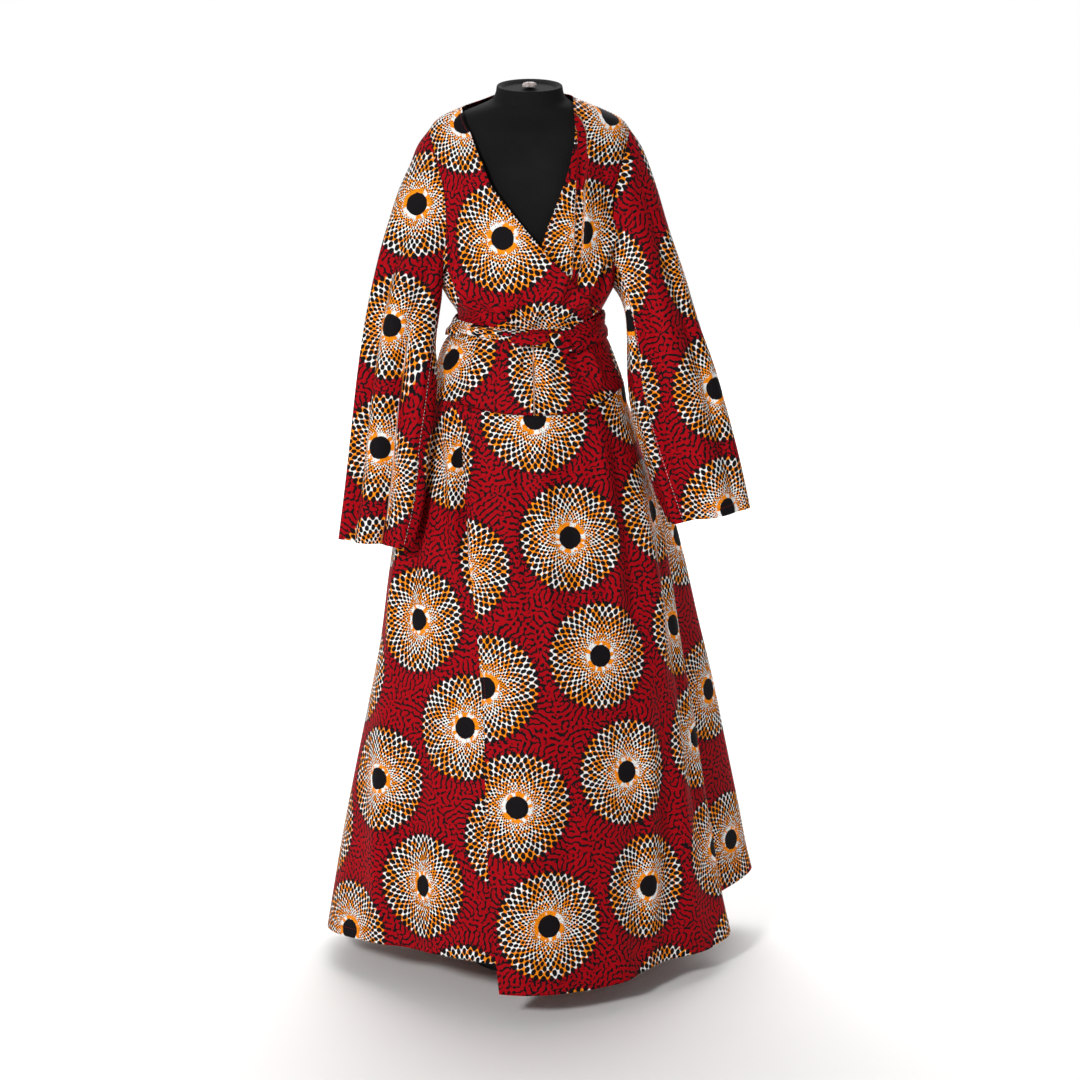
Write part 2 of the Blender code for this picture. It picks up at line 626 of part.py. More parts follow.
def sash_loop(name, strips):
    """A flattened loop of the bow, lying on the sash and the yoke."""
    at = np.linspace(0, len(strips) - 1, LOOP_STEPS)
    x, z, half, lift = (smooth(np.arange(len(strips)), sizes, at) for sizes in columns(strips))
    run = np.stack([np.gradient(x), np.gradient(z)], -1)
    run = run / np.linalg.norm(run, axis=-1, keepdims=True)
    v = np.linspace(-1, 1, 5)[:, None]
    across = x - run[:, 1] * half * v
    up = z + run[:, 0] * half * v
    angle = angle_at(across, up)
    crown = LOOP_CROWN * (1 - v**2) * np.ones_like(across)
    normals = oval_normals(angle, up)
    outer = oval_points(angle, up) + (lift + crown)[..., None] * normals
    return wall(name, outer, normals, LOOP_CLOTH, "wax_print_sash")


def sash_knot():
    """The knot in the middle of the bow, a rounded lump on the sash."""
    angle = angle_at(KNOT.x, KNOT.z)
    front = oval_points(angle, KNOT.z)
    lift = SASH_LIFT + SASH_CROWN + KNOT_CLEAR + KNOT_HALF_DEPTH
    work = bmesh.new()
    bmesh.ops.create_uvsphere(work, u_segments=16, v_segments=10, radius=1)
    sizes = (KNOT_HALF_LENGTH, KNOT_HALF_DEPTH, KNOT_HALF_HEIGHT)
    for vertex in work.verts:
        vertex.co = [
            centre + size * math.copysign(abs(value) ** KNOT_SQUARENESS, value)
            for centre, size, value in zip((front[0], front[1] - lift, front[2]), sizes, vertex.co)
        ]
    points = [tuple(vertex.co) for vertex in work.verts]
    faces = [tuple(vertex.index for vertex in face.verts) for face in work.faces]
    work.free()
    return add_mesh("sash_knot", points, faces, "wax_print_sash")


def loft(name, rings, finish):
    """A closed solid through rings of points, with flat ends."""
    count = len(rings[0])
    points = np.concatenate(rings)
    place = np.arange(len(points)).reshape(len(rings), count)
    after = np.roll(place, -1, axis=1)
    sides = np.stack([place[:-1], after[:-1], after[1:], place[1:]], -1).reshape(-1, 4).tolist()
    faces = [tuple(face) for face in sides] + [tuple(place[0][::-1].tolist()), tuple(place[-1].tolist())]
    return add_mesh(name, points, faces, finish)


def torso_ring(row, shrink=1.0, drop=0.0):
    """One oval of the dress form, leaning towards the front where the neck does."""
    turns = np.linspace(0, 2 * math.pi, FORM_SIDES, endpoint=False)
    y = np.where(np.sin(turns) < 0, row.front, row.back) * np.sin(turns) * shrink
    z = row.z - drop + NECK_LEAN * row.lean * y
    return np.stack([row.half_width * shrink * np.cos(turns), y, z], -1)


def dress_form():
    """The torso with its neck, whose top is a shallow dish."""
    stops, half_width, front, back, lean = columns(TORSO)
    body = np.linspace(stops[1], BODY_TOP, BODY_ROWS)
    heights = np.concatenate([stops[:1], body, stops[stops > BODY_TOP]])
    rows = [
        Torso(z, *(float(smooth(stops, sizes, z)) for sizes in (half_width, front, back, lean)))
        for z in heights
    ]
    rings = [torso_ring(row) for row in rows]
    rings += [torso_ring(rows[-1], NECK_RIM_SHRINK), torso_ring(rows[-1], NECK_DISH_SHRINK, NECK_DISH)]
    return loft("dress_form", rings, "black_jersey")


def turned(name, profile, finish, sides):
    """A solid turned round an upright axis, from (radius, height) pairs, bottom to top."""
    turns = np.linspace(0, 2 * math.pi, sides, endpoint=False)
    rings = [
        np.stack([r * np.cos(turns), r * np.sin(turns), z + 0 * turns], -1)
        for r, z in profile
    ]
    return loft(name, rings, finish)


def stand():
    """The round base with its hub, the pole up to the form, and the small knob on the neck."""
    edge = EDGE_ROUND
    turned(
        "stand_base",
        (
            (BASE_RADIUS - edge, 0.0), (BASE_RADIUS, edge), (BASE_RADIUS, BASE_HEIGHT - edge),
            (BASE_RADIUS - edge, BASE_HEIGHT), (HUB_RADIUS, BASE_HEIGHT + edge),
            (HUB_RADIUS, HUB_HEIGHT - edge), (HUB_RADIUS - edge, HUB_HEIGHT),
        ),
        "black_steel", BASE_SIDES,
    )
    turned(
        "stand_pole", ((POLE_RADIUS, HUB_HEIGHT + SEAM_GAP), (POLE_RADIUS, TORSO[0].z - SEAM_GAP)),
        "black_steel", POLE_SIDES,
    )
    # The dish leans with the neck, so the knob starts above its highest place under the knob
    dish = TORSO[-1].z - NECK_DISH + SEAM_GAP
    foot = (KNOB_RADIUS, dish + NECK_LEAN * KNOB_RADIUS)
    profile = [(KNOB_RADIUS * wide, dish + KNOB_HEIGHT * high) for wide, high in KNOB_PROFILE]
    turned("neck_knob", [foot] + profile, "pale_fitting", KNOB_SIDES)


def main():
    """Clear the scene and build every piece."""
    for old in list(bpy.data.objects):
        bpy.data.objects.remove(old, do_unlink=True)
    bodice_front_left()
    bodice_front_right()
    bodice_back()
    yoke("yoke_front", 180, 360)
    yoke("yoke_back", 0, 180)
    skirt_front_over()
    skirt_front_under()
    skirt_back()
    sleeve("sleeve_left", 180, SLEEVE_LEFT, SLEEVE_LEFT_FOLDS)
    sleeve("sleeve_right", 0, SLEEVE_RIGHT, SLEEVE_RIGHT_FOLDS)
    sash_band()
    sash_knot()
    sash_loop("sash_loop_left", LOOP_LEFT)
    sash_loop("sash_loop_right", LOOP_RIGHT)
    dress_form()
    stand()


main()
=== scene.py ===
"""Looks of the ankara wax print wrap dress on its limbless dress form.

Metres, +Z up, +X to the viewer's right, the front of the dress towards -Y.
Every cloth piece is a thin shell on one shape, the worn dress: an oval at each
height, with the folds of the cloth on it. A place on it is given by its angle
round the oval (0 right, 90 back, 180 left, 270 front) and by its height.
Left and right in the names are the viewer's, looking at the front.
"""

from __future__ import annotations

import logging
import math
from collections.abc import Callable, Sequence
from dataclasses import dataclass
from enum import Enum
from typing import Any, NamedTuple

import bpy
import numpy as np
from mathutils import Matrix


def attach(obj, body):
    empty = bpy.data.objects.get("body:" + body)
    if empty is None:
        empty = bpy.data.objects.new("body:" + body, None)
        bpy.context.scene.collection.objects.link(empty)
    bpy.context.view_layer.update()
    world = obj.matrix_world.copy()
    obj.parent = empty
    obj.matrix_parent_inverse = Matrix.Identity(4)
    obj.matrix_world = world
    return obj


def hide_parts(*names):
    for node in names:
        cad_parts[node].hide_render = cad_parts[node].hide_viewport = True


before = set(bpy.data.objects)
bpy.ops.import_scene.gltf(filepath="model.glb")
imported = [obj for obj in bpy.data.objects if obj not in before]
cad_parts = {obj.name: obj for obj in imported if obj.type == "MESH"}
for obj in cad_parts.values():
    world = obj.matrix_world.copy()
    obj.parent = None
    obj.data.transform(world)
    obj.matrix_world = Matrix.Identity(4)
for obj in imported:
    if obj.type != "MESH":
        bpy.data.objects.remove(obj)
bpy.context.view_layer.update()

log = logging.getLogger("dress")
Array = np.ndarray
Colour = tuple[float, float, float, float]

# Cloth, seams and layers, as in the solids
CLOTH = 0.0008
SASH_CLOTH = 0.0006
SEAM_GAP = 0.0003
BODICE_LAYER = 0.0054
SKIRT_LAYER = 0.0042
FREE_EDGE_LIFT = 0.016
SASH_LIFT = 0.0096
SASH_CROWN = 0.0010
WAIST_RADIUS = 0.09
HALF_SEAM_TURN = math.degrees(SEAM_GAP / 2 / WAIST_RADIUS)
THREAD_RADIUS = 0.00035
WAIST_SEAM = 1.100
UNDERARM = 1.168
SHOULDER_TIP = 1.430
ARMHOLE_REACH = 30.0
RIGHT_SEAM = 4.0

# Heights between which the creases of each part fade in or out, and how far they face us for it
UPPER_IN = (1.105, 1.125)
HIPS_IN, HIPS_OUT = (0.985, 1.000), (1.090, 1.105)
SKIRT_OUT = (0.962, 0.985)
FACING = (0.05, 0.35)

# Heights between which each part is laid flat, then that where its flaring sides would meet
BODICE_SPAN = (1.095, 1.490)
YOKE_SPAN = (0.960, 1.110, 1.300)
SKIRT_SPAN = (0.030, 1.010, 1.830)

# Photograph's camera
CAMERA_PLACE = (0.017, -4.0, 1.59)
CAMERA_PITCH = 12.0
FOCAL_PIXELS = 2411.0
PHOTO_PIXELS = 1080


class Ring(NamedTuple):
    """Half sizes of the worn dress at one height."""

    z: float
    left: float
    right: float
    front: float
    back: float


class Fold(NamedTuple):
    """A fold of the skirt: its angles, its width in degrees, how far out, where it starts."""

    top_angle: float
    hem_angle: float
    width: float
    out: float
    start: float
    growth: float = 1.3


class Crease(NamedTuple):
    """A soft ridge or trough between two places seen from the front or the back.

    The near width is on its left side as it runs down, the far width on its right.
    """

    x_top: float
    z_top: float
    x_end: float
    z_end: float
    near: float
    far: float
    out: float
    bow: float = 0.0


class Place(NamedTuple):
    """A place across and up, seen from the front."""

    x: float
    z: float


class Tuck(NamedTuple):
    """A fold that hides some width of cloth: its angle, its reach to either side, the width."""

    angle: float
    reach: float
    taken: float


class Slip(NamedTuple):
    """A fold of a sleeve where the cloth on one side hangs lower, growing along the sleeve."""

    angle: float
    reach: float
    lower: float
    start: float
    end: float


class Level(NamedTuple):
    """A height at an angle."""

    angle: float
    z: float


def entries(kind: type, *rows: tuple) -> tuple:
    """The rows of a table as named tuples of one kind."""
    return tuple(kind(*row) for row in rows)


GARMENT = entries(
    Ring,
    (0.020, 0.361, 0.345, 0.285, 0.264), (0.120, 0.344, 0.324, 0.268, 0.250),
    (0.206, 0.329, 0.312, 0.254, 0.238), (0.350, 0.300, 0.291, 0.229, 0.219),
    (0.450, 0.279, 0.277, 0.212, 0.206), (0.565, 0.256, 0.257, 0.193, 0.191),
    (0.690, 0.239, 0.238, 0.173, 0.176), (0.780, 0.224, 0.221, 0.160, 0.163),
    (0.860, 0.205, 0.196, 0.147, 0.150), (0.920, 0.186, 0.177, 0.137, 0.138),
    (0.975, 0.169, 0.163, 0.127, 0.127), (1.010, 0.161, 0.157, 0.119, 0.119),
    (1.045, 0.155, 0.145, 0.112, 0.108), (1.080, 0.142, 0.131, 0.102, 0.096),
    (1.108, 0.1195, 0.1145, 0.093, 0.086), (1.130, 0.1215, 0.1185, 0.099, 0.088),
    (1.150, 0.135, 0.129, 0.111, 0.094), (1.172, 0.147, 0.140, 0.119, 0.098),
    (1.220, 0.152, 0.150, 0.125, 0.102), (1.270, 0.155, 0.155, 0.126, 0.105),
    (1.330, 0.159, 0.159, 0.117, 0.107), (1.380, 0.165, 0.165, 0.100, 0.101),
    (1.410, 0.166, 0.166, 0.086, 0.091), (1.430, 0.162, 0.162, 0.075, 0.083),
    (1.446, 0.147, 0.147, 0.067, 0.075), (1.463, 0.1115, 0.1115, 0.061, 0.067),
    (1.480, 0.070, 0.071, 0.057, 0.061), (1.492, 0.062, 0.063, 0.055, 0.058),
)
SKIRT_FOLDS = entries(
    Fold,
    (236, 226, 20, -0.048, 0.86), (200, 205, 12, -0.016, 0.60),
    (262, 268, 17, 0.022, 0.80), (318, 316, 17, -0.038, 0.80),
    (296, 298, 5, 0.010, 0.50), (347, 352, 8, 0.016, 0.90), (6, 4, 6, -0.030, 0.80),
    (20, 24, 10, 0.118, 1.00, 0.75), (50, 48, 10, -0.020, 0.80), (72, 72, 9, 0.024, 0.85),
    (93, 94, 9, -0.018, 0.80), (115, 116, 10, 0.026, 0.88),
    (138, 138, 9, -0.016, 0.80), (158, 160, 9, 0.020, 0.86),
)
NECKLINE_LEFT = entries(
    Place,
    (0.1094, 1.1357), (0.0866, 1.1660), (0.0170, 1.2470), (-0.0168, 1.2870), (-0.0360, 1.3110),
    (-0.0620, 1.3460), (-0.0727, 1.3716), (-0.0853, 1.3985), (-0.0960, 1.4253), (-0.1065, 1.4440),
    (-0.1100, 1.4630),
)
NECKLINE_RIGHT = entries(
    Place,
    (-0.0350, 1.1000), (-0.0100, 1.1700), (0.0186, 1.2430), (0.0283, 1.2744), (0.0380, 1.2984),
    (0.0490, 1.3270), (0.0587, 1.3525), (0.0682, 1.3890), (0.0735, 1.4206), (0.0725, 1.4536),
    (0.0710, 1.4800),
)
WRAP_EDGE = entries(
    Place,
    (-0.0460, 0.0440), (-0.0560, 0.1500), (-0.0648, 0.2577), (-0.0728, 0.4840), (-0.0870, 0.6460),
    (-0.1060, 0.8130), (-0.1110, 0.9050), (-0.1190, 0.9860),
)
UNDER_EDGE = entries(Place, (0.0750, 0.0600), (0.0600, 0.5000), (0.0450, 0.9800))
HIP_SEAM = entries(
    Level,
    (0, 1.008), (45, 1.003), (90, 1.000), (135, 0.998), (180, 0.994), (226, 0.986), (262, 0.974),
    (285, 0.973), (306, 0.979), (333, 1.001), (360, 1.008),
)
OVER_HEM = entries(
    Level,
    (262, 0.0440), (290, 0.0430), (318, 0.0540), (340, 0.0480), (352, 0.0520), (364, 0.0920),
)
UNDER_HEM = entries(Level, (180, 0.0500), (205, 0.0680), (240, 0.0860), (284, 0.0860))
BACK_HEM = entries(
    Level,
    (4, 0.0920), (24, 0.0830), (60, 0.0760), (120, 0.0680), (180, 0.0500),
)
BODICE_PLEATS = (Tuck(297.9, 0.30, -0.045), Tuck(303.7, 0.30, 0.045))
SLEEVE_SLIP = Slip(-15.0, 1.0, 0.050, 0.40, 0.70)
YOKE_TUCK = Tuck(272.3, 0.12, 0.066)
BACK_TOP = ((0.0, 0, SHOULDER_TIP), (0.2, 0, 1.479), (0.3, 22, 1.483), (0.5, 90, 1.484),
            (0.7, 158, 1.479), (0.8, 180, 1.463), (1.0, 180, SHOULDER_TIP))


def columns(rows: Sequence[Sequence[float]]) -> list[Array]:
    """A table's columns as arrays."""
    return [np.array(column, float) for column in zip(*rows)]


def smooth(stops: Any, values: Any, at: Any) -> Array:
    """A smooth curve through values, whose slope at each stop comes from its neighbours.

    Between two stops it is the cubic with those two values and slopes.

    Args:
        stops: Rising places of the values.
        values: The values there, single numbers or whole points.
        at: Where the curve is wanted; it keeps its end values outside the stops.

    Returns:
        The curve's values.
    """
    stops, values = np.asarray(stops, float), np.asarray(values, float)
    at = np.clip(np.asarray(at, float), stops[0], stops[-1])
    slopes = np.gradient(values, stops, axis=0)
    i = np.clip(np.searchsorted(stops, at, side="right") - 1, 0, len(stops) - 2)
    step = (stops[i + 1] - stops[i]).reshape(at.shape + (1,) * (values.ndim - 1))
    t = (at - stops[i]).reshape(step.shape) / step
    rise = (3 - 2 * t) * t**2
    ends = (1 - rise) * values[i] + rise * values[i + 1]
    return ends + step * (t * (1 - t) ** 2 * slopes[i] - t**2 * (1 - t) * slopes[i + 1])


def ramp(value: Any, start: float, end: float) -> Array:
    """0 before start, 1 after end, and a soft step between them."""
    t = np.clip((np.asarray(value, float) - start) / (end - start), 0, 1)
    return t * t * (3 - 2 * t)


def travelled(points: Array, axis: int = 0) -> Array:
    """Length travelled along each line of points, which is 0 at its start."""
    steps = np.linalg.norm(np.diff(points, axis=axis), axis=-1)
    return np.concatenate([0 * np.take(steps, [0], axis), np.cumsum(steps, axis)], axis)


def apart(angle: Any, other: Any) -> Array:
    """The turn in degrees from one angle to the other, from -180 to 180."""
    return np.mod(angle - other + 180.0, 360.0) - 180.0


def unit(vectors: Array) -> Array:
    """Vectors of length one."""
    return vectors / np.maximum(np.linalg.norm(vectors, axis=-1, keepdims=True), 1e-12)


@dataclass(frozen=True)
class Creases:
    """Folds laid on the cloth, each between two places across and up."""

    table: tuple[Crease, ...]
    rise: tuple[float, float] = (-0.12, 0.30)
    fall: tuple[float, float] = (0.70, 1.12)
    stands: float = 2.0
    sinks: float = 1.25

    def out(self, x: Array, z: Array) -> Array:
        """How far the cloth stands out at places across and up.

        Each crease is a bell across its line, with its own width on either side,
        times a soft hump along the line; a bowed line swings out in its middle.
        The sum stands out more than it sinks in, because the form holds the cloth.

        Args:
            x: Places across.
            z: Heights.

        Returns:
            The sum of the creases at each place.
        """
        total = np.zeros(np.broadcast(x, z).shape)
        for c in self.table:
            run = np.array([c.x_end - c.x_top, c.z_end - c.z_top])
            length = float(np.hypot(*run))
            run = run / length
            t = ((x - c.x_top) * run[0] + (z - c.z_top) * run[1]) / length
            across = (x - c.x_top) * -run[1] + (z - c.z_top) * run[0]
            across = across - c.bow * 4 * np.clip(t, 0, 1) * (1 - np.clip(t, 0, 1))
            width = np.where(across > 0, c.far, c.near)
            hump = ramp(t, *self.rise) * (1 - ramp(t, *self.fall))
            total = total + c.out * hump * np.exp(-((across / width) ** 2))
        return np.where(total > 0, self.stands, self.sinks) * total


BODICE_CREASES = Creases(entries(
    Crease,
    # drapes from the left armhole down to the waist
    (-0.140, 1.235, -0.095, 1.135, 0.007, 0.012, 0.0065, 0.004),
    (-0.152, 1.225, -0.118, 1.150, 0.006, 0.007, -0.0060, 0.002),
    (-0.120, 1.262, -0.045, 1.138, 0.010, 0.010, -0.0045, 0.006),
    (-0.095, 1.215, -0.030, 1.132, 0.007, 0.009, 0.0045, 0.003),
    (-0.060, 1.195, -0.012, 1.125, 0.006, 0.008, -0.0040),
    (-0.030, 1.185, 0.006, 1.120, 0.006, 0.006, 0.0035),
    # short gathers above the knot and the sash
    (-0.088, 1.178, -0.020, 1.116, 0.005, 0.006, 0.0048, 0.002),
    (-0.104, 1.166, -0.052, 1.116, 0.005, 0.005, -0.0042, 0.002),
    (-0.050, 1.160, -0.006, 1.114, 0.004, 0.006, -0.0040),
    (0.014, 1.165, 0.004, 1.114, 0.004, 0.005, 0.0036),
    (0.046, 1.160, 0.018, 1.114, 0.005, 0.005, -0.0036),
    (0.080, 1.165, 0.040, 1.118, 0.005, 0.006, 0.0042),
    # drapes from the right armhole
    (0.152, 1.300, 0.120, 1.150, 0.009, 0.007, 0.0060, -0.006),
    (0.146, 1.260, 0.098, 1.140, 0.006, 0.008, -0.0060, -0.004),
    (0.128, 1.235, 0.078, 1.135, 0.008, 0.007, 0.0045, -0.002),
    (0.098, 1.225, 0.048, 1.130, 0.007, 0.009, -0.0040),
    (0.060, 1.205, 0.028, 1.122, 0.006, 0.007, 0.0035),
    # from the shoulders to the bust
    (-0.118, 1.420, -0.128, 1.280, 0.009, 0.011, -0.0035, 0.004),
    (0.122, 1.420, 0.132, 1.290, 0.010, 0.009, -0.0035, -0.004),
    (0.094, 1.400, 0.086, 1.220, 0.0035, 0.010, 0.0028),
    (0.089, 1.400, 0.081, 1.220, 0.008, 0.003, -0.0026),
))
BACK_CREASES = Creases(entries(
    Crease,
    (-0.130, 1.240, -0.070, 1.130, 0.009, 0.010, 0.0055, 0.004),
    (-0.110, 1.260, -0.045, 1.125, 0.008, 0.008, -0.0050, 0.005),
    (-0.070, 1.220, -0.020, 1.120, 0.008, 0.009, 0.0040),
    (0.130, 1.240, 0.075, 1.130, 0.010, 0.009, 0.0055, -0.004),
    (0.112, 1.265, 0.050, 1.125, 0.008, 0.008, -0.0050, -0.005),
    (0.066, 1.215, 0.022, 1.120, 0.009, 0.008, 0.0042),
    (-0.020, 1.330, -0.012, 1.140, 0.014, 0.012, -0.0035),
))
YOKE_CREASES = Creases(entries(
    Crease,
    (0.001, 1.085, 0.012, 0.990, 0.004, 0.010, -0.0050, 0.003),
    (-0.012, 1.086, -0.020, 0.995, 0.008, 0.005, 0.0035, -0.002),
    (0.024, 1.082, 0.040, 1.000, 0.006, 0.008, 0.0030),
    (-0.050, 1.092, -0.064, 1.000, 0.009, 0.006, -0.0030),
    (-0.080, 1.092, -0.102, 1.010, 0.006, 0.009, 0.0030),
    (0.070, 1.080, 0.094, 1.005, 0.007, 0.008, -0.0030),
    (0.096, 1.080, 0.120, 1.015, 0.007, 0.006, 0.0030),
))
SKIRT_CREASES = Creases(entries(
    Crease,
    # the deep fold beside the free edge, up to the hip
    (-0.116, 0.975, -0.104, 0.700, 0.010, 0.005, -0.0070, 0.003),
    (-0.134, 0.970, -0.122, 0.720, 0.010, 0.010, 0.0060, 0.004),
    (-0.096, 0.965, -0.086, 0.770, 0.006, 0.012, 0.0035),
    # long soft folds of the over panel
    (-0.020, 0.955, 0.002, 0.640, 0.014, 0.010, -0.0040, 0.003),
    (0.010, 0.955, 0.034, 0.560, 0.010, 0.018, 0.0045, 0.004),
    (0.062, 0.965, 0.082, 0.620, 0.014, 0.012, -0.0035),
    (0.104, 0.975, 0.150, 0.600, 0.012, 0.014, 0.0045, 0.004),
    (0.132, 0.960, 0.186, 0.520, 0.010, 0.012, -0.0045, 0.004),
    (0.190, 0.560, 0.215, 0.050, 0.016, 0.022, 0.0060, 0.003),
    (0.225, 0.600, 0.262, 0.060, 0.018, 0.014, -0.0070, 0.004),
    (0.060, 0.420, 0.078, 0.040, 0.022, 0.016, -0.0050, -0.004),
    (-0.008, 0.380, -0.010, 0.040, 0.020, 0.020, 0.0045),
    # the fold in front of the right seam
    (0.196, 0.900, 0.312, 0.120, 0.010, 0.016, -0.0100, 0.004),
    (0.176, 0.860, 0.284, 0.120, 0.014, 0.012, 0.0055, 0.004),
    # the under panel
    (-0.160, 0.930, -0.222, 0.520, 0.010, 0.014, -0.0070, -0.006),
    (-0.180, 0.900, -0.238, 0.560, 0.010, 0.008, 0.0060, -0.004),
    (-0.145, 0.640, -0.180, 0.060, 0.020, 0.024, 0.0050),
    (-0.245, 0.480, -0.285, 0.060, 0.018, 0.018, 0.0060),
    (-0.215, 0.420, -0.240, 0.050, 0.016, 0.020, -0.0050),
))
SKIRT_BACK_CREASES = Creases(entries(
    Crease,
    (-0.105, 0.960, -0.160, 0.420, 0.014, 0.018, -0.0060),
    (-0.060, 0.950, -0.080, 0.380, 0.018, 0.014, 0.0050),
    (0.000, 0.950, 0.010, 0.300, 0.018, 0.018, -0.0050),
    (0.058, 0.960, 0.085, 0.360, 0.014, 0.018, 0.0055),
    (0.108, 0.960, 0.165, 0.400, 0.016, 0.014, -0.0055),
))


class WornShape:
    """The dress as it is worn: ovals by height, and the folds that lie on them."""

    def __init__(self) -> None:
        """Reads the table of rings."""
        self.z, self.left, self.right, self.front, self.back = columns(GARMENT)

    def points(self, angle: Array, z: Array) -> Array:
        """Points of the plain ovals: half sizes at z times the cosine and sine of the angle.

        Args:
            angle: Angles round the oval.
            z: Heights.

        Returns:
            The points.
        """
        turn = np.radians(angle)
        across, along = np.cos(turn), np.sin(turn)
        wide = np.where(across < 0, smooth(self.z, self.left, z), smooth(self.z, self.right, z))
        deep = np.where(along < 0, smooth(self.z, self.front, z), smooth(self.z, self.back, z))
        return np.stack([wide * across, deep * along, z + 0 * turn], -1)

    def normals(self, angle: Array, z: Array) -> Array:
        """Outward directions of the plain ovals, from their slopes round and up.

        Args:
            angle: Angles round the oval.
            z: Heights.

        Returns:
            Directions of length one.
        """
        turn, step = 0.12, 0.0005
        around = self.points(angle + turn, z) - self.points(angle - turn, z)
        up = self.points(angle, z + step) - self.points(angle, z - step)
        return unit(np.cross(around, up))

    def angle_at(self, x: Array, z: Array) -> Array:
        """The angle at which the front of the oval of height z reaches x."""
        wide = np.where(x < 0, smooth(self.z, self.left, z), smooth(self.z, self.right, z))
        return 360.0 - np.degrees(np.arccos(np.clip(x / wide, -1, 1)))

    def folds(self, angle: Array, z: Array) -> Array:
        """How far the worn cloth stands out at angles and heights.

        The skirt's folds are bells round the oval that grow as a power of the way
        from their start to the floor. The creases are added where the surface
        faces the front or the back, and fade at the sides.

        Args:
            angle: Angles round the oval.
            z: Heights.

        Returns:
            The sum of folds and creases at each place.
        """
        out = np.zeros(np.broadcast(angle, z).shape)
        for f in SKIRT_FOLDS:
            grown = np.clip((f.start - z) / f.start, 0, 1) ** f.growth
            middle = f.top_angle + (f.hem_angle - f.top_angle) * grown
            out = out + f.out * grown * np.exp(-((apart(angle, middle) / f.width) ** 2))
        x = self.points(angle, z)[..., 0]
        facing = np.sin(np.radians(angle))
        ahead, behind = ramp(-facing, *FACING), ramp(facing, *FACING)
        upper = ramp(z, *UPPER_IN)
        hips = ramp(z, *HIPS_IN) * (1 - ramp(z, *HIPS_OUT))
        skirt = 1 - ramp(z, *SKIRT_OUT)
        out = out + ahead * upper * BODICE_CREASES.out(x, z)
        out = out + behind * upper * BACK_CREASES.out(x, z)
        out = out + ahead * hips * YOKE_CREASES.out(x, z)
        out = out + ahead * skirt * SKIRT_CREASES.out(x, z)
        return out + behind * skirt * SKIRT_BACK_CREASES.out(x, z)

    def surface(self, angle: Array, z: Array, layer: Array | float = 0.0) -> Array:
        """Points of the worn cloth with its folds, a layer's height further out."""
        out = self.folds(angle, z) + layer
        return self.points(angle, z) + out[..., None] * self.normals(angle, z)


WORN = WornShape()


class Flat:
    """The worn dress laid flat: the place on the cloth, in metres, of each angle and height.

    Lengths round the dress are summed along the folded surface from a middle angle.
    Where the cloth flares from an apex, the flat piece is a fan round that apex:
    across = distance from the apex x sin(length / distance), up = -distance x cos.
    """

    def __init__(
        self, middle: float, low: float, high: float, apex: float | None = None,
        tucks: tuple[Tuck, ...] = (),
    ) -> None:
        """Measures the surface between two heights.

        Args:
            middle: The angle that keeps across = 0.
            low: Lowest height.
            high: Highest height.
            apex: Height where the flaring sides would meet, or None for upright sides.
            tucks: Where cloth is folded away.
        """
        self.middle, self.apex, self.tucks = middle, apex, tucks
        self.turns = np.arange(-190.0, 190.01, 0.5)
        self.heights = np.linspace(low, high, max(12, int((high - low) / 0.008)))
        angle, z = np.meshgrid(middle + self.turns, self.heights)
        length = travelled(WORN.surface(angle, z), 1)
        self.length = length - length[:, [len(self.turns) // 2]]
        self.rise = travelled(WORN.points(np.full(len(self.heights), middle), self.heights))

    def places(self, angle: Array, z: Array) -> Array:
        """Places on the flat cloth, across and up, of angles and heights.

        Args:
            angle: Angles round the oval.
            z: Heights.

        Returns:
            Places across and up, in metres.
        """
        u = (apart(angle, self.middle) - self.turns[0]) / (self.turns[1] - self.turns[0])
        v = (z - self.heights[0]) / (self.heights[1] - self.heights[0])
        i = np.clip(u.astype(int), 0, len(self.turns) - 2)
        j = np.clip(v.astype(int), 0, len(self.heights) - 2)
        fu, fv = u - i, v - j
        low = self.length[j, i] * (1 - fu) + self.length[j, i + 1] * fu
        high = self.length[j + 1, i] * (1 - fu) + self.length[j + 1, i + 1] * fu
        across = low * (1 - fv) + high * fv
        for tuck in self.tucks:
            reach = (tuck.angle - tuck.reach, tuck.angle + tuck.reach)
            across = across + tuck.taken * ramp(angle, *reach)
        up = self.rise[j] * (1 - fv) + self.rise[j + 1] * fv
        if self.apex is None:
            return np.stack([across, up], -1)
        slope = self.rise[-1] / (self.heights[-1] - self.heights[0])
        reach = (self.apex - self.heights[0]) * slope - up
        return np.stack([reach * np.sin(across / reach), -reach * np.cos(across / reach)], -1)


